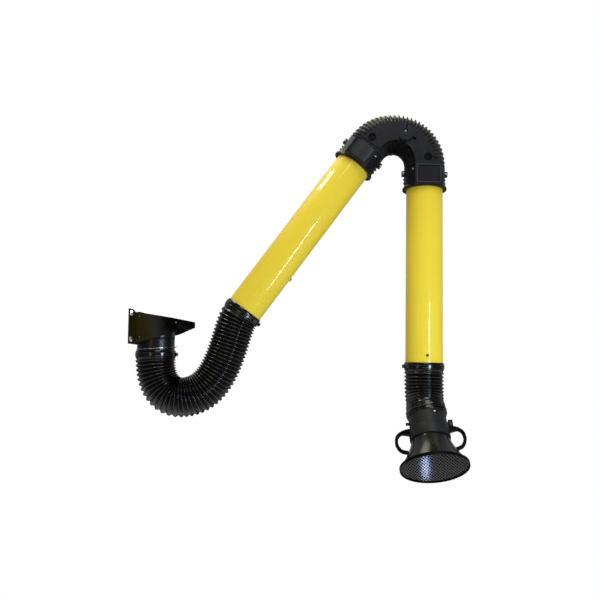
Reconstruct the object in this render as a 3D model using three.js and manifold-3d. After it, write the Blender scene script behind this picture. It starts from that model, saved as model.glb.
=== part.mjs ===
// Fume extraction arm for a wall, in millimetres, +Z up.
// The origin is the centre of the wall plate's back face. +X points away from the wall,
// and the arm's own plane is Y = 0. The arm stands as it is often left: the inner tube rises
// from the base hose, the elbow folds over, and the hood hangs from the outer tube, tipped to -Y.
import * as THREE from "three";
import { mergeVertices } from "three/addons/utils/BufferGeometryUtils.js";
import Module from "manifold-3d";

const wasm = await Module();
wasm.setup();

// Clearances
const GAP = 0.4; // between pieces that rest on each other
const RUNNING_GAP = 0.5; // between pieces that turn in each other

// Arm tubes
const TUBE_OD = 100;
const TUBE_WALL = 1.5;
const INNER_TUBE_SEEN = 499; // bare length between the base hose and the elbow
const OUTER_TUBE_SEEN = 477; // bare length between the elbow and the hood hose
const INNER_RISE = 53.3; // slope of the inner tube, degrees above level
const OUTER_LEAN = 1.2; // lean of the outer tube's top away from the wall, degrees

// Wall bracket
const PLATE_EDGE = 8.5; // from a wall bolt to the plate's side edge
const PLATE_HEIGHT = 92;
const PLATE_THICK = 3;
const WALL_BOLT_OUT = 11.5; // from a cheek's inside to a wall bolt
const WALL_BOLT_SPACING_Z = 67;
const WALL_BOLT_D = 8;
const WALL_BOLT_HEAD = 13; // across the flats
const DUCT_NOTCH = 60; // width of the notch that lets the duct pass close to the wall
const DUCT_NOTCH_FOOT = 2;
const LUG_DEPTH = 30; // how far the plate's folded lugs stand out
const LUG_CHAMFER = 11;
const CHEEK_BOLT_D = 5;
const CHEEK_BOLT_SPACING = 54;
const CHEEK_CLEAR = 5.5; // between the swivel housing and a cheek
const CHEEK_THICK = 3;
const CHEEK_REAR = 16; // from the wall to the cheeks' rear edges
const CHEEK_REACH = 161; // from the wall to the nose
const CHEEK_STRAIGHT = 111; // where the cheeks start to close in
const CHEEK_TOP = 38.6; // at the rear edge
const CHEEK_FOOT = -45;
const NOSE_TOP = 14.4;
const NOSE_FOOT = 0;
const NOSE_WIDTH = 20;
const CHEEK_HOLE_X = 122;
const CHEEK_HOLE_Z = 12;
const CHEEK_HOLE_D = 4;
const SHELF_TOP = -2;
const SHELF_THICK = 4;

// Swivel
const HOUSING_OD = 101;
const HOUSING_WALL = 4;
const HOUSING_TO_PLATE = 3.5; // clear of the wall plate
const SWIVEL_WALL = 3;
const HOUSING_FOOT = -29;
const WASHER_THICK = 1.4;
const COLLAR_SEEN_FOOT = -62; // where the base hose starts
const RETAINER_WIDTH = 4;
const RETAINER_HEIGHT = 4;
const SPIGOT_HEIGHT = 19;
const SPIGOT_WALL = 2.4;
const WIRE_D = 1.8;
const WIRE_TAIL = 9;

// Hoses
const HOSE_SIDES = 12;
const HOSE_WALL = 1.2;
const HOSE_OVERLAP = 20; // length of a cuff on its tube
const HOSE_CREST_OVER_TUBE = 3.2; // rib crest outside the tube's radius
const HOSE_VALLEY_UNDER_TUBE = 2;
const HOSE_BORE_UNDER_TUBE = 3.6;
const BASE_RIBS = 45;
const ELBOW_RIBS = 30;
const HOOD_RIBS = 13;
const ELBOW_CREST_EXTRA = 3; // the elbow hose is a little fuller
const BASE_SAG_X = 70; // lowest point of the base hose, out from the swivel axis
const BASE_SAG_Z = -188;
const BASE_PULL = 120; // how far the base hose runs level before it climbs
const BASE_LIFT = 54; // how far it follows the inner tube's line
const ARM_FOOT_X = 297.7; // bare lower end of the inner tube
const ARM_FOOT_Z = 50;

// Hose clamps
const CLAMP_WIDTH = 9;
const CLAMP_THICK = 1.2;
const CLAMP_BLOCK = 4.5; // screw block, out from the band
const CLAMP_BLOCK_WIDTH = 12;
const CLAMP_INSET = 11; // band centre from the hose's end

// Support arms inside the base hose
const LINK_WIDTH = 20;
const TONGUE_THICK = 10;
const DISC_THICK = 1.4;
const FORK_CHEEK = 5;
const TILT_PIN_D = 12;
const TILT_HEAD_D = 20;
const TILT_HEAD = 4;
const TILT_EYE_D = 26;
const FORK_SLOT_SHARE = 0.26; // share of the climbing bend that the fork's slot takes
const BRIDGE_THICK = 10;
const BRIDGE_HEIGHT = 14;
const BRIDGE_TOP = -48;
const SADDLE_AT = 139; // tube screw from the inner tube's bare lower end
const SADDLE_SIZE = 18;
const TUBE_SCREW_D = 5;
const TUBE_SCREW_HEAD_D = 11;
const TUBE_SCREW_HEAD = 3.4;

// Elbow
const BEND_R = 88; // middle of the elbow hose
const ELBOW_STRAIGHT = 70; // from the bare tube's end to the start of the bend
const ELBOW_INSERT = 56; // tube inside the collar
const ELBOW_HOSE_START = 13; // hose end from the bare tube's end
const COLLAR_LENGTH = 62;
const COLLAR_WALL = 2.4;
const RIM_HEIGHT = 5;
const RIM_OUT = 4.5;
const LIP_HEIGHT = 10;
const PLATE_IN_R = 51; // side plate's inner edge from the bend's centre
const PLATE_OUT_R = 103;
const PIVOT_R = 80;
const LOBE_R = 26;
const NOTCH_HALF = 40; // half angle of the notch over the pivot, degrees
const NOTCH_ABOVE_PIVOT = 8;
const SIDE_PLATE_THICK = 4.5;
const SIDE_PLATE_CLEAR = 1.3; // between a collar's outside and the inner pair of side plates
const SIGHT_HOLE_D = 10;
const SIGHT_HOLE_R = 76; // from the bend's centre
const SIGHT_HOLE_AT = 49.5; // along the bend, degrees
const FRICTION_WASHER = 1.2;
const FRICTION_WASHER_OD = 16;
const PIVOT_BOLT_D = 6;
const PIVOT_HEAD_D = 12;
const PIVOT_HEAD = 3;
const PAD_WIDTH = 70;
const WINDOW_WIDTH = 60;
const WINDOW_HEIGHT = 46;
const WINDOW_FOOT = 9;
const WINDOW_DEPTH = 3;
const PLUG_D = 21;
const PLUG_THICK = 2.2;
const PLUG_RECESS = 3;
const PLUG_R = 87; // from the bend's centre
const PLUG_AT = 5; // degrees past the start of the bend
const PLUG_SLOT = 3;
const CLIP_OUT = 7;
const CLIP_HEIGHT = 13;
const CLIP_AT = 46;
const CLIP_DEPTH = 8;
const CLIP_SCREW_D = 4;
const CLIP_HEAD_D = 7.5;
const CLIP_HEAD = 2.6;

// Hood
const HOOD_PIVOT_BELOW = 93; // joint centre below the bare outer tube
const HOOD_TIP = 32.8; // how far the hood is tipped towards -Y, degrees
const HOOD_ROLL = 1; // how far its mouth swings away from the wall, degrees
const NECK_OD = 98;
const HOOD_WALL = 2.5;
const NECK_START = 30; // distances along the hood's axis from the joint centre
const HOSE_END = 60;
const HANDLE_RING_AT = 97;
const HANDLE_RING_HEIGHT = 30;
const HANDLE_RING_WALL = 3.2;
const FLARE_AT = 128;
const FLARE_POWER = 1.35; // how the flare opens: 1 would be a plain cone
const MOUTH_AT = 201.4;
const MOUTH_R = 85.4;
const HANDLE_REACH = 90;
const HANDLE_BAR = 6;
const HANDLE_WIDTH = 11;
const HANDLE_TOP = 101;
const HANDLE_FOOT = 156;
const HANDLE_TURN = 8; // how far the loops are turned round the neck, degrees
const RIM_WIDTH = 7;
const RIM_THICK = 2;
const RIM_SKIRT = 6;
const NET_THICK = 1.6;
const NET_PITCH = 16.5;
const NET_WIRE = 2.6;
const YOKE_PIN_D = 8;
const YOKE_CHEEK = 4.6;
const YOKE_INSIDE = 20;
const YOKE_WIDTH = 14;
const YOKE_REACH = 22;
const YOKE_BASE = 6;
const STEM_D = 14;
const OUTER_SCREW_AT = 19; // hood yoke's screws above the bare tube's end
const YOKE_BRIDGE = 16;
const FOOT_AT = 50;
const FOOT_HEIGHT = 12;
const FOOT_WIDTH = 16;

// Damper in the hood's neck
const DAMPER_AT = 80;
const DAMPER_SHAFT_D = 8;
const DAMPER_THICK = 1.6;
const DAMPER_HUB_D = 14;
const DAMPER_EDGE_GAP = 1.2;
const KNOB_STANDOFF = 4;
const KNOB_LENGTH = 11;
const KNOB_HEIGHT = 17;
const KNOB_DEPTH = 12;
const SHAFT_NUB = 9;

// Worked out from the sizes above
const rad = THREE.MathUtils.degToRad;
const TUBE_R = TUBE_OD / 2;
const TUBE_BORE = TUBE_R - TUBE_WALL;
const LEAN = rad(OUTER_LEAN);
const ARM_TURN = rad(90 - INNER_RISE); // turn about Y that lays +Z along the inner tube
const ELBOW_TURN = rad(90 + INNER_RISE + OUTER_LEAN);
const HOUSING_R = HOUSING_OD / 2;
const SWIVEL_X = PLATE_THICK + HOUSING_TO_PLATE + HOUSING_R; // swivel axis from the wall
const SWIVEL_NECK_R = HOUSING_R - HOUSING_WALL - RUNNING_GAP;
const CHEEK_HALF = HOUSING_R + CHEEK_CLEAR;
const WALL_BOLT_Y = CHEEK_HALF + WALL_BOLT_OUT;
const SHELF_FOOT = SHELF_TOP - SHELF_THICK;
const NECK_R = NECK_OD / 2;
const POLYGON = 1 / Math.cos(Math.PI / HOSE_SIDES); // corner radius over flat radius
const cuffBore = (tubeRadius) => (tubeRadius + GAP) * POLYGON;
const cuffOut = (tubeRadius) => cuffBore(tubeRadius) + HOSE_WALL;
const COLLAR_IN = cuffOut(TUBE_R) + GAP;
const COLLAR_OUT = COLLAR_IN + COLLAR_WALL;
const SIDE_PLATE_IN = COLLAR_OUT + SIDE_PLATE_CLEAR;
const OUTER_PLATE_Y = [SIDE_PLATE_IN, SIDE_PLATE_IN + SIDE_PLATE_THICK];
const WASHER_Y = [OUTER_PLATE_Y[1] + GAP, OUTER_PLATE_Y[1] + GAP + FRICTION_WASHER];
const INNER_PLATE_Y = [WASHER_Y[1] + GAP, WASHER_Y[1] + GAP + SIDE_PLATE_THICK];
const ELBOW_PIVOT = bendPoint(PIVOT_R, ELBOW_TURN / 2);

// Directions and points of the arm in the world
const armAcross = new THREE.Vector3(Math.cos(ARM_TURN), 0, -Math.sin(ARM_TURN));
const armAlong = new THREE.Vector3(Math.sin(ARM_TURN), 0, Math.cos(ARM_TURN));
const armFoot = new THREE.Vector3(ARM_FOOT_X, 0, ARM_FOOT_Z);
const outerAcross = new THREE.Vector3(-Math.cos(LEAN), 0, Math.sin(LEAN));
const outerAlong = new THREE.Vector3(Math.sin(LEAN), 0, Math.cos(LEAN));
const bendCentre = armFoot
  .clone()
  .addScaledVector(armAlong, INNER_TUBE_SEEN + ELBOW_STRAIGHT)
  .addScaledVector(armAcross, BEND_R);
const outerTop = bendCentre
  .clone()
  .addScaledVector(outerAlong, -ELBOW_STRAIGHT)
  .addScaledVector(outerAcross, -BEND_R);
const outerFoot = outerTop.clone().addScaledVector(outerAlong, -OUTER_TUBE_SEEN);
const hoodPivot = outerFoot.clone().addScaledVector(outerAlong, -HOOD_PIVOT_BELOW);
const hoodTurn = new THREE.Euler(-rad(HOOD_TIP), -rad(HOOD_ROLL), 0, "YXZ");
const hoodAlong = new THREE.Vector3(0, 0, -1).applyEuler(hoodTurn);
const tiltPivot = new THREE.Vector3(SWIVEL_X + BASE_SAG_X, 0, BASE_SAG_Z);

// A closed geometry as a solid that can be joined and cut. Faces that have no area are dropped.
function solidOf(geometry) {
  const bare = new THREE.BufferGeometry();
  bare.setAttribute("position", geometry.getAttribute("position"));
  bare.setIndex(geometry.index);
  const merged = mergeVertices(bare, 1e-4);
  const corners = merged.index.array;
  const kept = [];
  for (let i = 0; i < corners.length; i += 3) {
    const [a, b, c] = [corners[i], corners[i + 1], corners[i + 2]];
    if (a !== b && b !== c && a !== c) kept.push(a, b, c);
  }
  const make = (triangles) =>
    new wasm.Manifold(
      new wasm.Mesh({
        numProp: 3,
        vertProperties: new Float32Array(merged.getAttribute("position").array),
        triVerts: new Uint32Array(triangles),
      }),
    );
  const made = make(kept);
  return made.volume() > 0 ? made : make(kept.reverse());
}

// A solid as a geometry that a mesh can show.
function geometryOf(solid) {
  const mesh = solid.getMesh();
  const geometry = new THREE.BufferGeometry();
  geometry.setAttribute("position", new THREE.BufferAttribute(mesh.vertProperties, 3));
  geometry.setIndex(new THREE.BufferAttribute(mesh.triVerts, 1));
  return geometry;
}

function box(x0, x1, y0, y1, z0, z1) {
  const block = new THREE.BoxGeometry(x1 - x0, y1 - y0, z1 - z0);
  return solidOf(block.translate((x0 + x1) / 2, (y0 + y1) / 2, (z0 + z1) / 2));
}

// A round bar between two points.
function rod(radius, from, to, sides = 12) {
  const start = new THREE.Vector3(...from);
  const run = new THREE.Vector3(...to).sub(start);
  const length = run.length();
  const bar = new THREE.CylinderGeometry(radius, radius, length, sides);
  const turn = new THREE.Quaternion().setFromUnitVectors(new THREE.Vector3(0, 1, 0), run.normalize());
  bar.applyQuaternion(turn);
  const middle = start.addScaledVector(run, length / 2);
  return solidOf(bar.translate(middle.x, middle.y, middle.z));
}

// A round bar across the arm's plane.
const pin = (radius, x, z, y0, y1, sides) => rod(radius, [x, y0, z], [x, y1, z], sides);

// A ring or sleeve about an upright axis, from a closed outline of [radius, height] points.
function turned(outline, sides = 24) {
  const points = outline.map(([r, z]) => new THREE.Vector2(r, z));
  points.push(points[0].clone());
  return solidOf(new THREE.LatheGeometry(points, sides).rotateX(Math.PI / 2));
}

const sleeve = (inner, outer, z0, z1, sides) =>
  turned([[inner, z0], [outer, z0], [outer, z1], [inner, z1]], sides);

// An outline of [x, z] points, made thick across the arm's plane from y0 to y1.
function slab(outline, y0, y1) {
  const shape = new THREE.Shape(outline.map(([x, z]) => new THREE.Vector2(x, z)));
  const sheet = new THREE.ExtrudeGeometry(shape, { depth: y1 - y0, bevelEnabled: false });
  return solidOf(sheet.rotateX(Math.PI / 2).translate(0, y1, 0));
}

// An outline of [x, y] points, made thick upwards from z0 to z1.
function layer(outline, z0, z1) {
  const shape = new THREE.Shape(outline.map(([x, y]) => new THREE.Vector2(x, y)));
  const sheet = new THREE.ExtrudeGeometry(shape, { depth: z1 - z0, bevelEnabled: false });
  return solidOf(sheet.translate(0, 0, z0));
}

// The outline of a flat bar of one width along a line of [x, z] points.
function strip(line, width) {
  const left = [];
  const right = [];
  line.forEach(([x, z], i) => {
    const [ax, az] = line[Math.max(i - 1, 0)];
    const [bx, bz] = line[Math.min(i + 1, line.length - 1)];
    const size = Math.hypot(bx - ax, bz - az);
    const [nx, nz] = [-(bz - az) / size, (bx - ax) / size];
    left.push([x + (nx * width) / 2, z + (nz * width) / 2]);
    right.push([x - (nx * width) / 2, z - (nz * width) / 2]);
  });
  return [...left, ...right.reverse()];
}

const joined = (...solids) => solids.reduce((whole, next) => whole.add(next));

// A circular bend in the XZ plane that starts along +Z and turns over towards +X.
class Bend extends THREE.Curve {
  constructor(radius, turn, start) {
    super();
    this.radius = radius;
    this.turn = turn;
    this.start = start;
  }

  getPoint(t, target = new THREE.Vector3()) {
    const angle = this.turn * t;
    const x = this.radius * (1 - Math.cos(angle));
    return target.set(x, 0, this.start + this.radius * Math.sin(angle));
  }
}

// A point of the elbow in the elbow's own frame, by its radius from the bend's centre
// and its angle along the bend.
function bendPoint(radius, angle) {
  return [BEND_R - radius * Math.cos(angle), ELBOW_STRAIGHT + radius * Math.sin(angle)];
}

// A ribbed hose with its bore. Each rib has a valley ring and a crest ring, and the bore has a ring every
// third rib. A cuff at each end slips over a tube.
function ribbedHose({ path, side, ribs, startRadius, endRadius, cuff, endCuff, crestExtra = 0 }) {
  const length = path.getLength();
  const pitch = (length - cuff - endCuff) / ribs;
  const boreStep = 1;
  const tubeAt = (s) => THREE.MathUtils.lerp(startRadius, endRadius, s / length);
  const rings = [[0, cuffOut(startRadius)], [cuff, cuffOut(startRadius)]];
  for (let i = 0; i < ribs; i++) {
    const valley = cuff + (i + 0.25) * pitch;
    const crest = cuff + (i + 0.75) * pitch;
    rings.push([valley, (tubeAt(valley) - HOSE_VALLEY_UNDER_TUBE) * POLYGON]);
    rings.push([crest, (tubeAt(crest) + HOSE_CREST_OVER_TUBE + crestExtra) * POLYGON]);
  }
  rings.push([length - endCuff, cuffOut(endRadius)], [length, cuffOut(endRadius)]);
  rings.push([length, cuffBore(endRadius)], [length - endCuff, cuffBore(endRadius)]);
  const boreRings = Math.ceil(ribs / 3);
  for (let i = boreRings; i >= 0; i--) {
    const s = cuff + boreStep + ((length - cuff - endCuff - 2 * boreStep) * i) / boreRings;
    rings.push([s, tubeAt(s) - HOSE_BORE_UNDER_TUBE]);
  }
  rings.push([cuff, cuffBore(startRadius)], [0, cuffBore(startRadius)]);
  const positions = [];
  for (const [s, radius] of rings) {
    const along = path.getTangentAt(s / length);
    const across = side.clone().addScaledVector(along, -side.dot(along)).normalize();
    const up = new THREE.Vector3().crossVectors(across, along);
    const centre = path.getPointAt(s / length);
    for (let k = 0; k < HOSE_SIDES; k++) {
      const angle = (2 * Math.PI * (k + 0.5)) / HOSE_SIDES;
      const point = centre.clone();
      point.addScaledVector(across, radius * Math.cos(angle));
      point.addScaledVector(up, radius * Math.sin(angle));
      positions.push(point.x, point.y, point.z);
    }
  }
  const triangles = [];
  rings.forEach((ring, i) => {
    const here = i * HOSE_SIDES;
    const next = ((i + 1) % rings.length) * HOSE_SIDES;
    for (let k = 0; k < HOSE_SIDES; k++) {
      const l = (k + 1) % HOSE_SIDES;
      triangles.push(here + k, next + k, next + l, here + k, next + l, here + l);
    }
  });
  const geometry = new THREE.BufferGeometry();
  geometry.setAttribute("position", new THREE.Float32BufferAttribute(positions, 3));
  geometry.setIndex(triangles);
  return solidOf(geometry);
}

// A clamp band about an upright axis, with its screw block at an angle round the band.
function hoseClamp(tubeRadius, centre, blockAngle) {
  const inner = cuffOut(tubeRadius) + GAP;
  const outer = inner + CLAMP_THICK;
  const half = CLAMP_WIDTH / 2;
  const band = sleeve(inner, outer, centre - half, centre + half);
  const wide = CLAMP_BLOCK_WIDTH / 2;
  const root = outer - CLAMP_THICK / 2;
  const block = box(root, outer + CLAMP_BLOCK, -wide, wide, centre - half, centre + half);
  return band.add(block.rotate([0, 0, blockAngle]));
}

const blackPaint = () => new THREE.MeshStandardMaterial({ color: 0x14130f, roughness: 0.35, metalness: 0.2 });
const blackRubber = () => new THREE.MeshStandardMaterial({ color: 0x11110f, roughness: 0.45, metalness: 0 });
const darkPlastic = () => new THREE.MeshStandardMaterial({ color: 0x24242b, roughness: 0.55, metalness: 0 });
const glossPlastic = () => new THREE.MeshStandardMaterial({ color: 0x15150f, roughness: 0.25, metalness: 0 });
const yellowPaint = () => new THREE.MeshStandardMaterial({ color: 0xe8d03c, roughness: 0.25, metalness: 0 });
const zinc = () => new THREE.MeshStandardMaterial({ color: 0xc9c9c4, roughness: 0.35, metalness: 0.9 });
const steel = () => new THREE.MeshStandardMaterial({ color: 0x8d8f92, roughness: 0.45, metalness: 0.9 });
const fibre = () => new THREE.MeshStandardMaterial({ color: 0x6b5b48, roughness: 0.85, metalness: 0 });

const arm = new THREE.Group();

function piece(group, name, solid, material) {
  const mesh = new THREE.Mesh(geometryOf(solid), material);
  mesh.name = name;
  group.add(mesh);
}

function frameAt(parent, place, turnX = 0, turnY = 0, turnZ = 0) {
  const group = new THREE.Group();
  group.position.copy(place);
  group.rotation.set(turnX, turnY, turnZ);
  parent.add(group);
  return group;
}

// Wall bracket
function wallPlate() {
  const half = WALL_BOLT_Y + PLATE_EDGE;
  let plate = box(0, PLATE_THICK, -half, half, -PLATE_HEIGHT / 2, PLATE_HEIGHT / 2);
  const lugOut = CHEEK_HALF - GAP;
  const [root, tip, edge] = [PLATE_THICK / 2, PLATE_THICK + LUG_DEPTH, PLATE_HEIGHT / 2];
  const cut = LUG_CHAMFER;
  const lugSide = [[root, -edge], [tip - cut, -edge + cut / 2], [tip, -edge + 2 * cut], [tip, edge - 2 * cut],
    [CHEEK_REAR, edge - cut], [PLATE_THICK + cut / 3, edge], [root, edge]];
  for (const side of [-1, 1]) {
    const [a, b] = [side * lugOut, side * (lugOut - CHEEK_THICK)];
    plate = plate.add(slab(lugSide, Math.min(a, b), Math.max(a, b)));
  }
  const notchHalf = DUCT_NOTCH / 2;
  plate = plate.subtract(box(-1, PLATE_THICK + 1, -notchHalf, notchHalf, DUCT_NOTCH_FOOT, PLATE_HEIGHT));
  for (const [y, z] of wallBoltPlaces()) {
    plate = plate.subtract(rod(WALL_BOLT_D / 2 + GAP, [-1, y, z], [PLATE_THICK + 1, y, z], 12));
  }
  for (const [side, z] of cheekBoltPlaces()) {
    const lugIn = lugOut - CHEEK_THICK - 1;
    plate = plate.subtract(pin(CHEEK_BOLT_D / 2 + GAP, cheekBoltX(), z, side * lugIn, side * CHEEK_HALF, 8));
  }
  return plate;
}

function wallBoltPlaces() {
  const [y, z] = [WALL_BOLT_Y, WALL_BOLT_SPACING_Z / 2];
  return [[-y, z], [-y, -z], [y, z], [y, -z]];
}

function cheekBoltX() {
  return (CHEEK_REAR + PLATE_THICK + LUG_DEPTH) / 2;
}

function cheekBoltPlaces() {
  const middle = (CHEEK_TOP + CHEEK_FOOT) / 2;
  const half = CHEEK_BOLT_SPACING / 2;
  return [[-1, middle + half], [-1, middle - half], [1, middle + half], [1, middle - half]];
}

// The shank ends in the plate's back face, where the wall begins.
function wallBolt(y, z) {
  const washerTop = PLATE_THICK + GAP + 1.6;
  const shank = rod(WALL_BOLT_D / 2, [0, y, z], [washerTop, y, z], 10);
  const washer = rod(WALL_BOLT_HEAD * 0.62, [PLATE_THICK + GAP, y, z], [washerTop, y, z]);
  const headRadius = WALL_BOLT_HEAD / Math.sqrt(3);
  const head = rod(headRadius, [washerTop - 0.1, y, z], [washerTop + WALL_BOLT_D * 0.65, y, z], 6);
  return joined(shank, washer, head);
}

function cheekBolt(side, z) {
  const x = cheekBoltX();
  const head = CHEEK_HALF + CHEEK_THICK + GAP;
  const inside = CHEEK_HALF - GAP - CHEEK_THICK;
  const shank = pin(CHEEK_BOLT_D / 2, x, z, side * inside, side * (head + 0.1), 8);
  return shank.add(pin(CHEEK_BOLT_D * 0.9, x, z, side * head, side * (head + CHEEK_BOLT_D * 0.5), 10));
}

// The cheeks' outline seen from above, grown outwards by the sheet's thickness or not.
function cheekPlan(grow) {
  const wide = CHEEK_HALF + grow;
  const nose = NOSE_WIDTH / 2 - CHEEK_THICK + grow;
  const tip = CHEEK_REACH - CHEEK_THICK + grow;
  const rear = CHEEK_REAR;
  const bend = CHEEK_STRAIGHT;
  return [[rear, -wide], [bend, -wide], [tip, -nose], [tip, nose], [bend, wide], [rear, wide]];
}

function bracketFrame() {
  const rear = CHEEK_REAR;
  const [low, high] = [CHEEK_FOOT, CHEEK_TOP];
  const walls = layer(cheekPlan(CHEEK_THICK), low, high).subtract(layer(cheekPlan(0), low - 1, high + 1));
  const reach = CHEEK_REACH + 1;
  const outside = CHEEK_HALF + CHEEK_THICK + 1;
  const taper = slab([[rear, low], [reach, NOSE_FOOT], [reach, NOSE_TOP], [rear, high]], -outside, outside);
  const shelfRear = PLATE_THICK + LUG_DEPTH + GAP;
  const shelf = layer(cheekPlan(CHEEK_THICK / 2), SHELF_FOOT, SHELF_TOP)
    .intersect(box(shelfRear, reach, -outside, outside, low, high))
    .subtract(rod(SWIVEL_NECK_R + RUNNING_GAP, [SWIVEL_X, 0, low], [SWIVEL_X, 0, high], 24));
  let frame = walls.intersect(taper).add(shelf.intersect(taper));
  const holeY = CHEEK_HALF + CHEEK_THICK + 1;
  frame = frame.subtract(pin(CHEEK_HOLE_D / 2, CHEEK_HOLE_X, CHEEK_HOLE_Z, -holeY, holeY, 12));
  for (const [side, z] of cheekBoltPlaces()) {
    const inside = CHEEK_HALF - 1;
    frame = frame.subtract(pin(CHEEK_BOLT_D / 2 + GAP, cheekBoltX(), z, side * inside, side * holeY, 8));
  }
  return frame;
}

function ductSpigot() {
  const base = SHELF_TOP + GAP;
  const inner = SWIVEL_NECK_R + RETAINER_WIDTH + 2 * RUNNING_GAP;
  return sleeve(inner, inner + SPIGOT_WALL, base, base + SPIGOT_HEIGHT);
}

const wall = frameAt(arm, new THREE.Vector3());
piece(wall, "wall_plate", wallPlate(), blackPaint());
wallBoltPlaces().forEach(([y, z], i) => piece(wall, `wall_bolt_${i + 1}`, wallBolt(y, z), zinc()));
piece(wall, "bracket_frame", bracketFrame(), blackPaint());
cheekBoltPlaces().forEach(([side, z], i) => piece(wall, `cheek_bolt_${i + 1}`, cheekBolt(side, z), steel()));

const swivel = frameAt(arm, new THREE.Vector3(SWIVEL_X, 0, 0));
const neckIn = SWIVEL_NECK_R + RUNNING_GAP;
piece(swivel, "duct_spigot", ductSpigot(), blackPaint());
piece(swivel, "swivel_housing", sleeve(neckIn, HOUSING_R, HOUSING_FOOT, SHELF_FOOT - GAP), blackPaint());

// Swivel, turned about the upright axis of its frame
const shoulder = HOUSING_FOOT - 2 * GAP - WASHER_THICK;
const collarFoot = COLLAR_SEEN_FOOT - HOSE_OVERLAP;
const collarBore = TUBE_R - SWIVEL_WALL;
const flangeOut = HOUSING_R - GAP;
const neckBore = SWIVEL_NECK_R - SWIVEL_WALL;

function swivelCollar() {
  const neckTop = SHELF_TOP + GAP + RETAINER_HEIGHT;
  const neckOut = SWIVEL_NECK_R;
  const flangeFoot = shoulder - SWIVEL_WALL;
  const step = flangeFoot - SWIVEL_WALL;
  const body = [[collarBore, collarFoot], [TUBE_R, collarFoot], [TUBE_R, flangeFoot]];
  const flange = [[flangeOut, flangeFoot], [flangeOut, shoulder]];
  const neck = [[neckOut, shoulder], [neckOut, neckTop], [neckBore, neckTop], [neckBore, step]];
  return turned([...body, ...flange, ...neck, [collarBore, step]]);
}

function wireClip() {
  const middle = COLLAR_SEEN_FOOT + WIRE_D + 2 * GAP;
  const inner = TUBE_R + GAP;
  const ring = sleeve(inner, inner + WIRE_D, middle - WIRE_D / 2, middle + WIRE_D / 2);
  const tailStart = [inner + WIRE_D / 2, 0, middle];
  const tail = rod(WIRE_D / 2, tailStart, [inner + WIRE_TAIL, -WIRE_TAIL / 3, middle + WIRE_TAIL / 4], 8);
  return ring.add(tail);
}

const washerFoot = shoulder + GAP;
piece(swivel, "swivel_collar", swivelCollar(), glossPlastic());
piece(swivel, "bearing_washer", sleeve(neckIn, flangeOut, washerFoot, washerFoot + WASHER_THICK), fibre());
const retainerIn = SWIVEL_NECK_R + GAP;
const retainerOut = SWIVEL_NECK_R + RETAINER_WIDTH;
const retainerFoot = SHELF_TOP + GAP;
const retainer = sleeve(retainerIn, retainerOut, retainerFoot, retainerFoot + RETAINER_HEIGHT - GAP);
piece(swivel, "retaining_ring", retainer, steel());
piece(swivel, "collar_wire_clip", wireClip(), zinc());
piece(swivel, "base_hose_clamp_top", hoseClamp(TUBE_R, COLLAR_SEEN_FOOT - CLAMP_INSET, 0), blackRubber());

// Base hose: down out of the collar, round its lowest point and up on to the inner tube
const dropEnd = new THREE.Vector3(SWIVEL_X, 0, collarFoot);
const tubeFoot = armFoot.clone().addScaledVector(armAlong, -HOSE_OVERLAP);
const roundness = 0.62; // handle length of a quarter bend over its radius
const fallingBend = new THREE.CubicBezierCurve3(
  dropEnd,
  dropEnd.clone().setZ(collarFoot + roundness * (BASE_SAG_Z - collarFoot)),
  tiltPivot.clone().setX(tiltPivot.x - roundness * BASE_SAG_X),
  tiltPivot,
);
const climbingBend = new THREE.CubicBezierCurve3(
  tiltPivot,
  tiltPivot.clone().setX(tiltPivot.x + BASE_PULL),
  tubeFoot.clone().addScaledVector(armAlong, -BASE_LIFT),
  tubeFoot,
);
const basePath = new THREE.CurvePath();
basePath.add(new THREE.LineCurve3(new THREE.Vector3(SWIVEL_X, 0, COLLAR_SEEN_FOOT), dropEnd));
basePath.add(fallingBend);
basePath.add(climbingBend);
basePath.add(new THREE.LineCurve3(tubeFoot, armFoot));
const across = new THREE.Vector3(0, 1, 0);
const baseHose = ribbedHose({
  path: basePath,
  side: across,
  ribs: BASE_RIBS,
  startRadius: TUBE_R,
  endRadius: TUBE_R,
  cuff: HOSE_OVERLAP,
  endCuff: HOSE_OVERLAP,
});
piece(arm, "base_hose", baseHose, blackRubber());

// Support arms inside the base hose
const pairs = (points) => points.map((p) => [p.x, p.z]);
const tongueHalf = TONGUE_THICK / 2;
const discIn = tongueHalf + GAP;
const forkIn = discIn + DISC_THICK + GAP;
const forkOut = forkIn + FORK_CHEEK;

function dropArm() {
  const line = [[SWIVEL_X, BRIDGE_TOP], ...pairs(fallingBend.getPoints(8))];
  const bar = slab(strip(line, LINK_WIDTH), -tongueHalf, tongueHalf);
  const eye = pin(TILT_EYE_D / 2, tiltPivot.x, tiltPivot.z, -tongueHalf, tongueHalf, 20);
  const bridgeHalf = BRIDGE_THICK / 2;
  const [rear, front] = [SWIVEL_X - bridgeHalf, SWIVEL_X + bridgeHalf];
  const bridge = box(rear, front, -TUBE_R, TUBE_R, BRIDGE_TOP - BRIDGE_HEIGHT, BRIDGE_TOP)
    .intersect(rod(collarBore - GAP, [SWIVEL_X, 0, collarFoot], [SWIVEL_X, 0, 0], 24));
  const hole = pin(TILT_PIN_D / 2 + GAP, tiltPivot.x, tiltPivot.z, -tongueHalf - 1, tongueHalf + 1);
  return joined(bar, eye, bridge).subtract(hole);
}

piece(arm, "drop_arm", dropArm(), steel());

// Inner arm: its frame starts at the bare foot of the inner tube, with +Z up the tube
const innerArm = frameAt(arm, armFoot, 0, ARM_TURN, 0);
const inArm = (p) => {
  const from = p.clone().sub(armFoot);
  return [from.dot(armAcross), from.dot(armAlong)];
};
const [pivotX, pivotZ] = inArm(tiltPivot);

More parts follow.
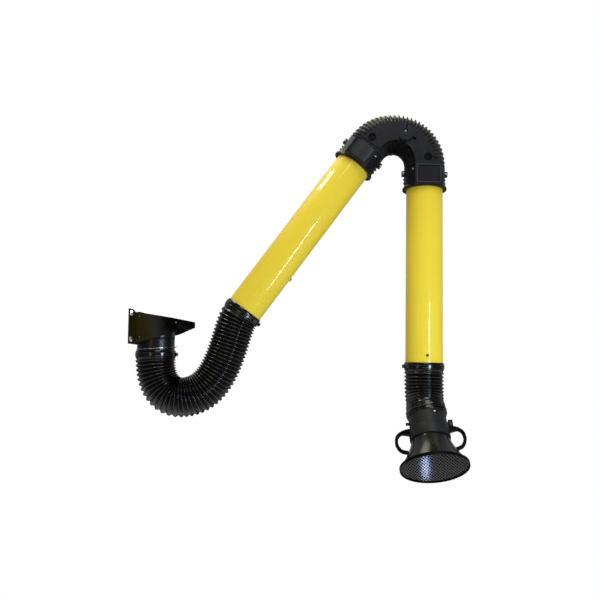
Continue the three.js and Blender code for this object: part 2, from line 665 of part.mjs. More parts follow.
function tiltArm() {
  const steps = 10;
  const bend = climbingBend.getPoints(steps).map(inArm);
  const slotEnd = Math.round(steps * FORK_SLOT_SHARE);
  const forkLine = bend.slice(0, slotEnd + 2);
  const stemLine = [...bend.slice(slotEnd), [0, SADDLE_AT + SADDLE_SIZE / 2]];
  let whole = slab(strip(stemLine, LINK_WIDTH), -forkOut, forkOut);
  for (const [y0, y1] of [[-forkOut, -forkIn], [forkIn, forkOut]]) {
    const eye = pin(TILT_EYE_D / 2, pivotX, pivotZ, y0, y1, 20);
    whole = joined(whole, slab(strip(forkLine, LINK_WIDTH), y0, y1), eye);
  }
  const half = SADDLE_SIZE / 2;
  const saddle = box(-TUBE_R, TUBE_R, -half, half, SADDLE_AT - half, SADDLE_AT + half)
    .intersect(rod(TUBE_BORE - GAP, [0, 0, 0], [0, 0, INNER_TUBE_SEEN], 24));
  const hole = pin(TILT_PIN_D / 2 + GAP, pivotX, pivotZ, -forkOut - 1, forkOut + 1);
  const screwHole = TUBE_SCREW_D / 2 + GAP;
  return whole
    .add(saddle)
    .subtract(hole)
    .subtract(rod(screwHole, [TUBE_BORE - SADDLE_SIZE, 0, SADDLE_AT], [TUBE_R, 0, SADDLE_AT], 8));
}

function tiltPin() {
  const start = -forkOut - 2 * GAP - TILT_HEAD;
  const shank = pin(TILT_PIN_D / 2, pivotX, pivotZ, start, forkOut + GAP + TILT_HEAD);
  return shank.add(pin(TILT_HEAD_D / 2, pivotX, pivotZ, forkOut + GAP, forkOut + GAP + TILT_HEAD));
}

function tiltNut() {
  const [y0, y1] = [-forkOut - GAP - TILT_HEAD, -forkOut - GAP];
  const body = pin(TILT_HEAD_D / Math.sqrt(3), pivotX, pivotZ, y0, y1, 6);
  return body.subtract(pin(TILT_PIN_D / 2 + GAP, pivotX, pivotZ, y0 - 1, y1 + 1));
}

function tiltDisc(side) {
  const [a, b] = [side * discIn, side * (discIn + DISC_THICK)];
  const disc = pin(TILT_EYE_D / 2, pivotX, pivotZ, Math.min(a, b), Math.max(a, b), 20);
  return disc.subtract(pin(TILT_PIN_D / 2 + GAP, pivotX, pivotZ, Math.min(a, b) - 1, Math.max(a, b) + 1));
}

// A tube about +Z with cross holes for its screws.
function armTube(z0, z1, holes) {
  const tube = sleeve(TUBE_BORE, TUBE_R, z0, z1);
  return holes.reduce((cut, [from, to]) => cut.subtract(rod(TUBE_SCREW_D / 2 + GAP, from, to, 8)), tube);
}

// A screw from outside a tube inwards, along a unit direction in the tube's frame.
function tubeScrew(direction, z, depth) {
  const at = (r) => [direction[0] * r, direction[1] * r, z];
  const seat = TUBE_R + GAP;
  const shank = rod(TUBE_SCREW_D / 2, at(TUBE_BORE - depth), at(seat + 0.1), 8);
  return shank.add(rod(TUBE_SCREW_HEAD_D / 2, at(seat), at(seat + TUBE_SCREW_HEAD), 12));
}

const screwDepth = SADDLE_SIZE - 4;
piece(innerArm, "tilt_arm", tiltArm(), steel());
piece(innerArm, "tilt_pin", tiltPin(), zinc());
piece(innerArm, "tilt_nut", tiltNut(), zinc());
piece(innerArm, "tilt_disc_front", tiltDisc(-1), fibre());
piece(innerArm, "tilt_disc_rear", tiltDisc(1), fibre());
const innerHoles = [[[TUBE_BORE - 2, 0, SADDLE_AT], [TUBE_R + 1, 0, SADDLE_AT]]];
const innerTube = armTube(-HOSE_OVERLAP + GAP, INNER_TUBE_SEEN + ELBOW_INSERT, innerHoles);
piece(innerArm, "inner_tube", innerTube, yellowPaint());
piece(innerArm, "inner_tube_screw", tubeScrew([1, 0], SADDLE_AT, screwDepth), zinc());
piece(innerArm, "base_hose_clamp_bottom", hoseClamp(TUBE_R, -CLAMP_INSET, 0), blackRubber());

// Elbow: each half of it has its frame at the bare end of its tube, with +Z into the elbow and +X to the
// inside of the bend
function sidePlate(y0, y1) {
  const steps = 7;
  const pivotAngle = ELBOW_TURN / 2;
  const bandEnd = pivotAngle - LOBE_R / PIVOT_R / 2;
  const angles = Array.from({ length: steps + 1 }, (_, i) => (bandEnd * i) / steps);
  const inner = angles.map((a) => bendPoint(PLATE_IN_R, a));
  const outer = angles.map((a) => bendPoint(PLATE_OUT_R, a));
  const foot = ELBOW_STRAIGHT - WINDOW_DEPTH;
  const [innerX, outerX] = [inner[0][0], outer[0][0]];
  const band = slab([[innerX, foot], ...inner, ...outer.reverse(), [outerX, foot]], y0, y1);
  const lobe = pin(LOBE_R, ...ELBOW_PIVOT, y0, y1, 20);
  const apex = bendPoint(PIVOT_R + NOTCH_ABOVE_PIVOT, pivotAngle);
  const far = PLATE_OUT_R + LOBE_R - PIVOT_R;
  const wedge = [-1, 1].map((s) => {
    const along = pivotAngle + s * rad(NOTCH_HALF);
    return [apex[0] - far * Math.cos(along), apex[1] + far * Math.sin(along)];
  });
  return band.add(lobe).subtract(slab([apex, wedge[0], wedge[1]], y0 - 1, y1 + 1));
}

function clipScrewPlaces() {
  const x = COLLAR_OUT + CLIP_OUT / 2;
  return [-x, x];
}

// The room that the tube and the hose's cuff take up inside a collar.
function collarRoom() {
  const lipIn = TUBE_R + GAP;
  const ribRoom = (TUBE_R + HOSE_CREST_OVER_TUBE + ELBOW_CREST_EXTRA) * POLYGON + GAP;
  const ribsFrom = COLLAR_LENGTH - GAP;
  const top = 2 * COLLAR_LENGTH;
  return turned([[0, -1], [lipIn, -1], [lipIn, LIP_HEIGHT], [COLLAR_IN, LIP_HEIGHT], [COLLAR_IN, ribsFrom],
    [ribRoom, ribsFrom], [ribRoom, top], [0, top]]);
}

function elbowShell(side, [near, far]) {
  const span = (a, b) => (side < 0 ? [-b, -a] : [a, b]);
  const rimOut = COLLAR_OUT + RIM_OUT;
  const collar = turned([[0, 0], [rimOut, 0], [rimOut, RIM_HEIGHT], [COLLAR_OUT, 2 * RIM_HEIGHT],
    [COLLAR_OUT, COLLAR_LENGTH], [0, COLLAR_LENGTH]]);
  const padHalf = PAD_WIDTH / 2;
  const [padNear, padFar] = span(0, far);
  const pad = box(-padHalf, padHalf, padNear, padFar, RIM_HEIGHT / 2, ELBOW_STRAIGHT);
  const clipEdge = COLLAR_OUT + CLIP_OUT;
  const [clipNear, clipFar] = span(0, CLIP_DEPTH);
  const clipFoot = CLIP_AT - CLIP_HEIGHT / 2;
  const lugs = box(-clipEdge, clipEdge, clipNear, clipFar, clipFoot, clipFoot + CLIP_HEIGHT);
  const [halfNear, halfFar] = span(GAP / 2, far + 1);
  const half = box(-PLATE_OUT_R, PLATE_OUT_R, halfNear, halfFar, -1, 2 * COLLAR_LENGTH);
  const body = joined(collar, pad, lugs).subtract(collarRoom()).intersect(half);
  const [windowNear, windowFar] = span(far - WINDOW_DEPTH, far + 1);
  const windowHalf = WINDOW_WIDTH / 2;
  const windowTop = WINDOW_FOOT + WINDOW_HEIGHT;
  const window = box(-windowHalf, windowHalf, windowNear, windowFar, WINDOW_FOOT, windowTop);
  const [plugNear, plugFar] = span(far - PLUG_RECESS, far + 1);
  const cuts = [window, pin(PLUG_D / 2 + GAP, ...plugPlace(), plugNear, plugFar, 16)];
  for (const x of clipScrewPlaces()) {
    cuts.push(pin(CLIP_SCREW_D / 2 + GAP, x, CLIP_AT, -CLIP_DEPTH - 1, CLIP_DEPTH + 1, 8));
  }
  return cuts.reduce((shell, cut) => shell.subtract(cut), body.add(sidePlate(...span(near, far))));
}

function plugPlace() {
  return bendPoint(PLUG_R, rad(PLUG_AT));
}

function slottedPlug(side, far) {
  const span = (a, b) => (side < 0 ? [-b, -a] : [a, b]);
  const [x, z] = plugPlace();
  const seat = far - PLUG_RECESS + GAP;
  const plug = pin(PLUG_D / 2, x, z, ...span(seat, seat + PLUG_THICK), 16);
  const [slotNear, slotFar] = span(seat + PLUG_THICK / 2, seat + PLUG_THICK + 1);
  const half = PLUG_SLOT / 2;
  return plug.subtract(box(x - PLUG_D, x + PLUG_D, slotNear, slotFar, z - half, z + half));
}

function clipScrew(x) {
  const end = CLIP_DEPTH + GAP;
  const shank = pin(CLIP_SCREW_D / 2, x, CLIP_AT, -end, CLIP_DEPTH, 8);
  return shank.add(pin(CLIP_HEAD_D / 2, x, CLIP_AT, -end - CLIP_HEAD, -end, 8));
}

const innerElbow = frameAt(innerArm, new THREE.Vector3(0, 0, INNER_TUBE_SEEN));
const innerShells = [[-1, "front"], [1, "rear"]];
const pivotHole = pin(PIVOT_BOLT_D / 2 + GAP, ...ELBOW_PIVOT, -PLATE_OUT_R, PLATE_OUT_R);
const headRecess = (side) => {
  const floor = INNER_PLATE_Y[1] - PIVOT_HEAD + GAP;
  const ends = [side * floor, side * PLATE_OUT_R].sort((a, b) => a - b);
  return pin(PIVOT_HEAD_D / 2 + GAP, ...ELBOW_PIVOT, ...ends);
};
for (const [side, place] of innerShells) {
  const shell = elbowShell(side, INNER_PLATE_Y).subtract(pivotHole).subtract(headRecess(side));
  piece(innerElbow, `elbow_shell_inner_${place}`, shell, darkPlastic());
  piece(innerElbow, `elbow_plug_inner_${place}`, slottedPlug(side, INNER_PLATE_Y[1]), darkPlastic());
}
clipScrewPlaces().forEach((x, i) => {
  piece(innerElbow, `elbow_clip_screw_inner_${i + 1}`, clipScrew(x), zinc());
});

const elbowPath = new THREE.CurvePath();
const elbowStart = new THREE.Vector3(0, 0, ELBOW_HOSE_START);
const elbowBend = new Bend(BEND_R, ELBOW_TURN, ELBOW_STRAIGHT);
const bendEnd = elbowBend.getPoint(1);
const bendEndAlong = new THREE.Vector3(Math.sin(ELBOW_TURN), 0, Math.cos(ELBOW_TURN));
const elbowCuff = ELBOW_STRAIGHT - ELBOW_HOSE_START;
elbowPath.add(new THREE.LineCurve3(elbowStart, elbowBend.getPoint(0)));
elbowPath.add(elbowBend);
elbowPath.add(new THREE.LineCurve3(bendEnd, bendEnd.clone().addScaledVector(bendEndAlong, elbowCuff)));
const elbowHose = ribbedHose({
  path: elbowPath,
  side: across,
  ribs: ELBOW_RIBS,
  startRadius: TUBE_R,
  endRadius: TUBE_R,
  cuff: COLLAR_LENGTH - ELBOW_HOSE_START,
  endCuff: COLLAR_LENGTH - ELBOW_HOSE_START,
  crestExtra: ELBOW_CREST_EXTRA,
});
piece(innerElbow, "elbow_hose", elbowHose, blackRubber());

// Outer arm: its frame starts at the bare top of the outer tube, with +Z up the tube
const outerArm = frameAt(arm, outerTop, 0, LEAN, 0);
const outerElbow = frameAt(outerArm, new THREE.Vector3(), 0, 0, Math.PI);
const outerShells = [[1, "front"], [-1, "rear"]];

function pivotBolt(side) {
  const span = (a, b) => (side < 0 ? [-b, -a] : [a, b]);
  const seat = INNER_PLATE_Y[1] - PIVOT_HEAD + 2 * GAP;
  const shank = pin(PIVOT_BOLT_D / 2, ...ELBOW_PIVOT, ...span(OUTER_PLATE_Y[0], seat + 0.1));
  return shank.add(pin(PIVOT_HEAD_D / 2, ...ELBOW_PIVOT, ...span(seat, seat + PIVOT_HEAD - GAP), 16));
}

function frictionWasher(side) {
  const ends = WASHER_Y.map((y) => side * y).sort((a, b) => a - b);
  return pin(FRICTION_WASHER_OD / 2, ...ELBOW_PIVOT, ...ends, 20).subtract(pivotHole);
}

const sightPlace = bendPoint(SIGHT_HOLE_R, rad(SIGHT_HOLE_AT));
const sightHole = pin(SIGHT_HOLE_D / 2, ...sightPlace, -PLATE_OUT_R, PLATE_OUT_R, 12);
for (const [side, place] of outerShells) {
  const shell = elbowShell(side, OUTER_PLATE_Y).subtract(pivotHole).subtract(sightHole);
  piece(outerElbow, `elbow_shell_outer_${place}`, shell, darkPlastic());
  piece(outerElbow, `elbow_plug_outer_${place}`, slottedPlug(side, OUTER_PLATE_Y[1]), darkPlastic());
  piece(outerElbow, `elbow_washer_${place}`, frictionWasher(side), fibre());
  piece(outerElbow, `elbow_pivot_bolt_${place}`, pivotBolt(side), zinc());
}
clipScrewPlaces().forEach((x, i) => {
  const screw = clipScrew(x).rotate([0, 0, 180]);
  piece(outerElbow, `elbow_clip_screw_outer_${i + 1}`, screw, zinc());
});

const outerScrewZ = -OUTER_TUBE_SEEN + OUTER_SCREW_AT;
const outerHoles = [[[0, -TUBE_R - 1, outerScrewZ], [0, TUBE_R + 1, outerScrewZ]]];
const outerTube = armTube(-OUTER_TUBE_SEEN - HOSE_OVERLAP + GAP, ELBOW_INSERT, outerHoles);
piece(outerArm, "outer_tube", outerTube, yellowPaint());
const outerScrewDepth = YOKE_BRIDGE * 0.8;
piece(outerArm, "outer_tube_screw_front", tubeScrew([0, -1], outerScrewZ, outerScrewDepth), zinc());
piece(outerArm, "outer_tube_screw_rear", tubeScrew([0, 1], outerScrewZ, outerScrewDepth), zinc());
const hoodClampTop = hoseClamp(TUBE_R, -OUTER_TUBE_SEEN - CLAMP_INSET, 180);
piece(outerArm, "hood_hose_clamp_top", hoodClampTop, blackRubber());

// One fork of the hood's universal joint about the origin: pins along Y, stem up +Z.
function yokeFork() {
  const half = YOKE_WIDTH / 2;
  const [near, far] = [YOKE_INSIDE / 2, YOKE_INSIDE / 2 + YOKE_CHEEK];
  let fork = box(-half, half, -far, far, YOKE_REACH, YOKE_REACH + YOKE_BASE);
  for (const [y0, y1] of [[-far, -near], [near, far]]) {
    fork = joined(fork, pin(half, 0, 0, y0, y1), box(-half, half, y0, y1, 0, YOKE_REACH + YOKE_BASE / 2));
  }
  return fork.subtract(pin(YOKE_PIN_D / 2 + GAP, 0, 0, -far - 1, far + 1));
}

function upperYoke() {
  const bridgeZ = HOOD_PIVOT_BELOW + OUTER_SCREW_AT;
  const half = YOKE_BRIDGE / 2;
  const stem = rod(STEM_D / 2, [0, 0, YOKE_REACH + YOKE_BASE / 2], [0, 0, bridgeZ]);
  const bridge = box(-half, half, -TUBE_R, TUBE_R, bridgeZ - half, bridgeZ + half)
    .intersect(rod(TUBE_BORE - GAP, [0, 0, 0], [0, 0, 2 * bridgeZ], 24));
  const reach = TUBE_BORE - outerScrewDepth - GAP;
  const screwHole = (side) =>
    rod(TUBE_SCREW_D / 2 + GAP, [0, side * reach, bridgeZ], [0, side * TUBE_R, bridgeZ], 8);
  return joined(yokeFork(), stem, bridge).subtract(screwHole(1)).subtract(screwHole(-1));
}

const upperFrame = frameAt(outerArm, new THREE.Vector3(0, 0, -OUTER_TUBE_SEEN - HOOD_PIVOT_BELOW));
piece(upperFrame, "hood_yoke_upper", upperYoke(), steel());

const tubeEnd = outerFoot.clone().addScaledVector(outerAlong, -HOSE_OVERLAP);
const neckTop = hoodPivot.clone().addScaledVector(hoodAlong, NECK_START);
const hosePull = tubeEnd.distanceTo(neckTop) / 3;
const hoodPath = new THREE.CurvePath();
hoodPath.add(new THREE.LineCurve3(outerFoot, tubeEnd));
hoodPath.add(
  new THREE.CubicBezierCurve3(
    tubeEnd,
    tubeEnd.clone().addScaledVector(outerAlong, -hosePull),
    neckTop.clone().addScaledVector(hoodAlong, -hosePull),
    neckTop,
  ),
);
hoodPath.add(new THREE.LineCurve3(neckTop, hoodPivot.clone().addScaledVector(hoodAlong, HOSE_END)));
const hoodHose = ribbedHose({
  path: hoodPath,
  side: new THREE.Vector3(1, 0, 0),
  ribs: HOOD_RIBS,
  startRadius: TUBE_R,
  endRadius: NECK_R,
  cuff: HOSE_OVERLAP,
  endCuff: HOSE_END - NECK_START,
});
piece(arm, "hood_hose", hoodHose, blackRubber());

// Hood joint: the cross has one pair of pins across the arm's plane and one pair along X
function gimbalCross() {
  const reach = YOKE_INSIDE / 2 + YOKE_CHEEK;
  const core = YOKE_INSIDE / 2 - RUNNING_GAP - GAP;
  const centre = box(-core, core, -core, core, -core, core);
  const bars = [[reach, 0], [0, reach]].map(([x, y]) => rod(YOKE_PIN_D / 2, [-x, -y, 0], [x, y, 0]));
  return joined(centre, ...bars);
}

const gimbal = frameAt(arm, hoodPivot, 0, -rad(HOOD_ROLL), 0);
piece(gimbal, "gimbal_cross", gimbalCross(), zinc());

// Hood: its frame is at the joint's centre, with -Z out along the hood's axis
const hood = frameAt(gimbal, new THREE.Vector3(), -rad(HOOD_TIP), 0, 0);

function flareRadius(at) {
  const share = (at - FLARE_AT) / (MOUTH_AT - FLARE_AT);
  return NECK_R + (MOUTH_R - NECK_R) * share ** FLARE_POWER;
}

function hoodBell() {
  const steps = 5;
  const flare = Array.from({ length: steps + 1 }, (_, i) => FLARE_AT + ((MOUTH_AT - FLARE_AT) * i) / steps);
  const outside = [[NECK_R, NECK_START]];
  const inside = [[NECK_R - HOOD_WALL, NECK_START]];
  for (const at of flare) {
    outside.push([flareRadius(at), at]);
    inside.push([flareRadius(at) - HOOD_WALL, at]);
  }
  const outline = [...outside, ...inside.reverse()].map(([r, at]) => [r, -at]);
  const bore = DAMPER_SHAFT_D / 2 + RUNNING_GAP;
  return turned(outline).subtract(rod(bore, [-NECK_OD, 0, -DAMPER_AT], [NECK_OD, 0, -DAMPER_AT], 12));
}

function handleRing() {
  const inner = NECK_R + GAP;
  const outer = inner + HANDLE_RING_WALL;
  const ring = sleeve(inner, outer, -HANDLE_RING_AT - HANDLE_RING_HEIGHT, -HANDLE_RING_AT);
  const footRadius = flareRadius(HANDLE_FOOT) + HANDLE_BAR / 2 + 2 * GAP;
  const middle = (HANDLE_TOP + HANDLE_FOOT) / 2;
  const reach = HANDLE_REACH - HANDLE_BAR / 2;
  const half = HANDLE_WIDTH / 2;
  const loops = [1, -1].map((side) => {
    const bends = [[inner + HANDLE_RING_WALL / 2, HANDLE_TOP], [reach * 0.86, HANDLE_TOP], [reach, middle],
      [reach * 0.88, HANDLE_FOOT - 5], [footRadius, HANDLE_FOOT]];
    const path = new THREE.CatmullRomCurve3(bends.map(([x, at]) => new THREE.Vector3(side * x, 0, -at)));
    return slab(strip(pairs(path.getPoints(10)), HANDLE_BAR), -half, half).rotate([0, 0, -HANDLE_TURN]);
  });
  return joined(ring, ...loops);
}

// A flat net of square gaps, set cornerwise.
function net() {
  const radius = MOUTH_R - RIM_THICK / 2;
  const sheet = new THREE.Shape().absarc(0, 0, radius, 0, 2 * Math.PI);
  const half = (NET_PITCH - NET_WIRE) / Math.SQRT2;
  const clear = radius - RIM_WIDTH - half;
  const steps = Math.ceil(radius / NET_PITCH);
  for (let i = -steps; i <= steps; i++) {
    for (let j = -steps; j <= steps; j++) {
      const x = ((i + j) * NET_PITCH) / Math.SQRT2;
      const y = ((i - j) * NET_PITCH) / Math.SQRT2;
      if (Math.hypot(x, y) > clear) continue;
      const corners = [[x + half, y], [x, y + half], [x - half, y], [x, y - half]];
      sheet.holes.push(new THREE.Path(corners.map(([a, b]) => new THREE.Vector2(a, b))));
    }
  }
  const flat = new THREE.ExtrudeGeometry(sheet, { depth: NET_THICK, bevelEnabled: false, curveSegments: 14 });
  return solidOf(flat.translate(0, 0, -MOUTH_AT - GAP - NET_THICK));
}

function hoodRim() {
  const top = -MOUTH_AT - 2 * GAP - NET_THICK;
  const skirtIn = MOUTH_R + GAP;
  const outer = skirtIn + RIM_THICK;
  const inner = MOUTH_R - RIM_WIDTH;
  const [skirtTop, foot] = [top + RIM_SKIRT, top - RIM_THICK];
  const skirt = [[skirtIn, top], [skirtIn, skirtTop], [outer, skirtTop], [outer, foot]];
  return turned([[inner, top], ...skirt, [inner, foot]]);
}

// A fork with its pins along X, and a stem that stands on the neck's -Y wall, clear of the damper.
function lowerYoke() {
  const fork = yokeFork().rotate([180, 0, 90]);
  const bore = NECK_R - HOOD_WALL - GAP;
  const half = FOOT_WIDTH / 2;
  const start = [-STEM_D / 4, -YOKE_REACH - YOKE_BASE / 2];
  const end = [-bore + STEM_D / 4, -FOOT_AT];
  const line = strip([start, end], STEM_D * 0.7);
  const bar = layer(line.map(([y, z]) => [z, y]), -half / 2, half / 2).rotate([0, -90, 0]);
  const footTop = -FOOT_AT + FOOT_HEIGHT / 2;
  const foot = box(-half, half, -NECK_R, -bore + STEM_D / 3, footTop - FOOT_HEIGHT, footTop);
  const inside = rod(bore, [0, 0, 0], [0, 0, -DAMPER_AT], 24);
  return joined(fork, bar.add(foot).intersect(inside));
}

piece(hood, "hood_yoke_lower", lowerYoke(), steel());
piece(hood, "hood_bell", hoodBell(), glossPlastic());
piece(hood, "handle_ring", handleRing(), glossPlastic());
piece(hood, "hood_mesh", net(), blackPaint());
piece(hood, "hood_rim", hoodRim(), blackPaint());
piece(hood, "hood_hose_clamp_bottom", hoseClamp(NECK_R, -HOSE_END + CLAMP_INSET, -50), zinc());

// Damper: open at rest, so that its plate lies along the neck
function damperShaft() {
  return rod(DAMPER_SHAFT_D / 2, [-NECK_R - SHAFT_NUB, 0, -DAMPER_AT], [NECK_R + SHAFT_NUB, 0, -DAMPER_AT]);
}

function damperPlate() {
  const radius = NECK_R - HOOD_WALL - DAMPER_EDGE_GAP;
  const disc = pin(radius, 0, -DAMPER_AT, -DAMPER_THICK / 2, DAMPER_THICK / 2, 28);
  const hubEnd = radius * 0.9;
  const hub = rod(DAMPER_HUB_D / 2, [-hubEnd, 0, -DAMPER_AT], [hubEnd, 0, -DAMPER_AT]);
  const bore = rod(DAMPER_SHAFT_D / 2 + GAP, [-NECK_R, 0, -DAMPER_AT], [NECK_R, 0, -DAMPER_AT]);
  return disc.add(hub).subtract(bore);
}

function damperKnob() {
  const start = NECK_R + KNOB_STANDOFF;
  const [half, foot] = [KNOB_DEPTH / 2, -DAMPER_AT - KNOB_HEIGHT / 2];
  const body = box(start, start + KNOB_LENGTH, -half, half, foot, foot + KNOB_HEIGHT);
  const socket = rod(DAMPER_SHAFT_D / 2 + GAP, [0, 0, -DAMPER_AT], [NECK_R + SHAFT_NUB + GAP, 0, -DAMPER_AT]);
  return body.subtract(socket);
}

piece(hood, "damper_shaft", damperShaft(), zinc());
piece(hood, "damper_plate", damperPlate(), steel());
piece(hood, "damper_knob", damperKnob(), darkPlastic());

export default arm;
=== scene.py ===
import math

import bmesh
import bpy
import numpy as np
from mathutils import Matrix, Vector


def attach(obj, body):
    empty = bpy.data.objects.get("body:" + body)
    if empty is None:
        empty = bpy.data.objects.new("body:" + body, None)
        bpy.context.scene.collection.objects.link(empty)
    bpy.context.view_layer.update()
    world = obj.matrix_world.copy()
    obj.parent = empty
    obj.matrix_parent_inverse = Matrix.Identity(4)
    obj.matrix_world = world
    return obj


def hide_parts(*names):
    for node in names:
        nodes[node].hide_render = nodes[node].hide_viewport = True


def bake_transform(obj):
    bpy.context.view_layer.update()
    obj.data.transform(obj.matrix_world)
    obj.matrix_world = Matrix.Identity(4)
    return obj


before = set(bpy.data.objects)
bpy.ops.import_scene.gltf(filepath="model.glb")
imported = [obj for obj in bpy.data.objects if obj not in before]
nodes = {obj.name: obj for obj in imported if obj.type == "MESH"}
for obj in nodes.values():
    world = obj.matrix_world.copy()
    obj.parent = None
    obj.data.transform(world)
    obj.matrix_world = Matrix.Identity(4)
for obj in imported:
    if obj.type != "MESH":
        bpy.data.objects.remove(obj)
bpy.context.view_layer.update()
scene = bpy.context.scene
MM = 0.001
rad = math.radians

# Camera: the photograph's place, pitch and field of view
camera_data = bpy.data.cameras.new("camera")
camera_data.lens = 39.0
camera_data.sensor_width = 36.0
camera = bpy.data.objects.new("camera", camera_data)
camera.location = (0.4486, -1.771, -0.1043)
camera.rotation_euler = (rad(90 + 5.8), 0, 0)
scene.collection.objects.link(camera)
scene.camera = camera
scene.view_settings.view_transform = "Standard"

# Sizes of the arm, in millimetres, as in the part
TUBE_R = 50.0
TUBE_BORE = 48.5
NECK_R = 49.0
ARM_FOOT = Vector((297.7, 0, 50))
ARM_TURN = rad(90 - 53.3)
LEAN = rad(1.2)
ELBOW_TURN = rad(90 + 53.3 + 1.2)
INNER_SEEN = 499.0
OUTER_SEEN = 477.0
BEND_R = 88.0
ELBOW_STRAIGHT = 70.0
HOOD_TIP = rad(32.8)
HOOD_ROLL = rad(1.0)
HOOD_BELOW = 93.0
OVERLAP = 20.0
NECK_START = 30.0
HOSE_END = 60.0

swivel_frame = Matrix.Translation((57, 0, 0))
inner_frame = Matrix.Translation(ARM_FOOT) @ Matrix.Rotation(ARM_TURN, 4, "Y")
inner_elbow = inner_frame @ Matrix.Translation((0, 0, INNER_SEEN))
arm_along = Vector((math.sin(ARM_TURN), 0, math.cos(ARM_TURN)))
arm_across = Vector((math.cos(ARM_TURN), 0, -math.sin(ARM_TURN)))
outer_along = Vector((math.sin(LEAN), 0, math.cos(LEAN)))
outer_across = Vector((-math.cos(LEAN), 0, math.sin(LEAN)))
bend_centre = ARM_FOOT + arm_along * (INNER_SEEN + ELBOW_STRAIGHT) + arm_across * BEND_R
outer_top = bend_centre - outer_along * ELBOW_STRAIGHT - outer_across * BEND_R
outer_frame = Matrix.Translation(outer_top) @ Matrix.Rotation(LEAN, 4, "Y")
outer_elbow = outer_frame @ Matrix.Rotation(math.pi, 4, "Z")
outer_foot = outer_top - outer_along * OUTER_SEEN
hood_pivot = outer_foot - outer_along * HOOD_BELOW
hood_frame = (
    Matrix.Translation(hood_pivot) @ Matrix.Rotation(-HOOD_ROLL, 4, "Y") @ Matrix.Rotation(-HOOD_TIP, 4, "X")
)
hood_along = (hood_frame.to_3x3() @ Vector((0, 0, -1))).normalized()
PIVOT_R = 80.0


def bend_point(radius, angle):
    return (BEND_R - radius * math.cos(angle), ELBOW_STRAIGHT + radius * math.sin(angle))


ELBOW_PIVOT = bend_point(PIVOT_R, ELBOW_TURN / 2)


# Materials
class Paint:
    """A node material with its principled shader, and short ways to feed it."""

    def __init__(self, name, **values):
        self.material = bpy.data.materials.new(name)
        self.material.use_nodes = True
        self.tree = self.material.node_tree
        self.shader = self.tree.nodes["Principled BSDF"]
        for key, value in values.items():
            self.shader.inputs[key.replace("_", " ")].default_value = value
        coordinates = self.tree.nodes.new("ShaderNodeTexCoord")
        self.place = coordinates.outputs["Object"]
        self.height = None

    def node(self, kind, **settings):
        made = self.tree.nodes.new(kind)
        for key, value in settings.items():
            if key in made.inputs:
                made.inputs[key].default_value = value
            else:
                setattr(made, key, value)
        return made

    def link(self, a, b):
        self.tree.links.new(a, b)

    def noise(self, scale, detail=4.0, roughness=0.55, stretch=None):
        made = self.node("ShaderNodeTexNoise", Scale=scale, Detail=detail, Roughness=roughness)
        source = self.place
        if stretch:
            mapping = self.node("ShaderNodeMapping", Scale=stretch)
            self.link(source, mapping.inputs["Vector"])
            source = mapping.outputs["Vector"]
        self.link(source, made.inputs["Vector"])
        return made.outputs["Fac"]

    def ramp(self, source, stops):
        made = self.node("ShaderNodeValToRGB")
        ramp = made.color_ramp
        while len(ramp.elements) < len(stops):
            ramp.elements.new(0.5)
        for element, (position, colour) in zip(ramp.elements, stops):
            element.position = position
            element.color = (*colour, 1) if len(colour) == 3 else colour
        self.link(source, made.inputs["Fac"])
        return made.outputs["Color"]

    def span(self, source, low, high, from_low=0.3, from_high=0.7):
        made = self.node("ShaderNodeMapRange")
        made.inputs["From Min"].default_value = from_low
        made.inputs["From Max"].default_value = from_high
        made.inputs["To Min"].default_value = low
        made.inputs["To Max"].default_value = high
        self.link(source, made.inputs["Value"])
        return made.outputs["Result"]

    def colour(self, source):
        self.link(source, self.shader.inputs["Base Color"])

    def roughness(self, source):
        self.link(source, self.shader.inputs["Roughness"])

    def bump(self, source, strength, distance):
        made = self.node("ShaderNodeBump", Strength=strength, Distance=distance)
        self.link(source, made.inputs["Height"])
        if self.height is not None:
            self.link(self.height, made.inputs["Normal"])
        self.height = made.outputs["Normal"]
        self.link(self.height, self.shader.inputs["Normal"])


def edge_wear(paint, base, worn, amount=0.5):
    """Colour that turns to the worn one on sharp convex edges."""
    geometry = paint.node("ShaderNodeNewGeometry")
    edge = paint.span(geometry.outputs["Pointiness"], 0, 1, 0.52, 0.60)
    patch = paint.span(paint.noise(90, 5), 0, amount, 0.45, 0.65)
    both = paint.node("ShaderNodeMath", operation="MULTIPLY")
    paint.link(edge, both.inputs[0])
    paint.link(patch, both.inputs[1])
    mix = paint.node("ShaderNodeMix", data_type="RGBA")
    paint.link(both.outputs["Value"], mix.inputs["Factor"])
    paint.link(base, mix.inputs[6])
    mix.inputs[7].default_value = (*worn, 1)
    return mix.outputs[2]


def yellow_paint():
    p = Paint("yellow_paint", Coat_Weight=0.45, Coat_Roughness=0.035, Specular_IOR_Level=0.12)
    broad = p.noise(3.5, 3)
    p.colour(p.ramp(broad, [(0.3, (0.79, 0.595, 0.036)), (0.7, (0.82, 0.63, 0.042))]))
    p.roughness(p.span(p.noise(30, 5), 0.40, 0.48))
    p.bump(p.noise(28, 2), 0.005, 0.0004)
    return p.material


def hose_black():
    p = Paint("hose_black", Specular_IOR_Level=0.46)
    dust = p.noise(40, 6)
    p.colour(p.ramp(dust, [(0.35, (0.0026, 0.0026, 0.0023)), (0.75, (0.0046, 0.0045, 0.0040))]))
    p.roughness(p.span(p.noise(90, 4), 0.15, 0.21))
    p.bump(p.noise(300, 3), 0.01, 0.0005)
    return p.material


def elbow_hose_painted_light():
    # Hose black made about seven times lighter than the other hoses, as painted light that shows the ribs in the shaded
    # inner bend.
    p = Paint("elbow_hose_painted_light", Specular_IOR_Level=0.4)
    p.colour(p.ramp(p.noise(40, 6), [(0.35, (0.018, 0.018, 0.0155)), (0.75, (0.030, 0.030, 0.026))]))
    p.roughness(p.span(p.noise(90, 4), 0.26, 0.34))
    p.bump(p.noise(300, 3), 0.01, 0.0005)
    return p.material


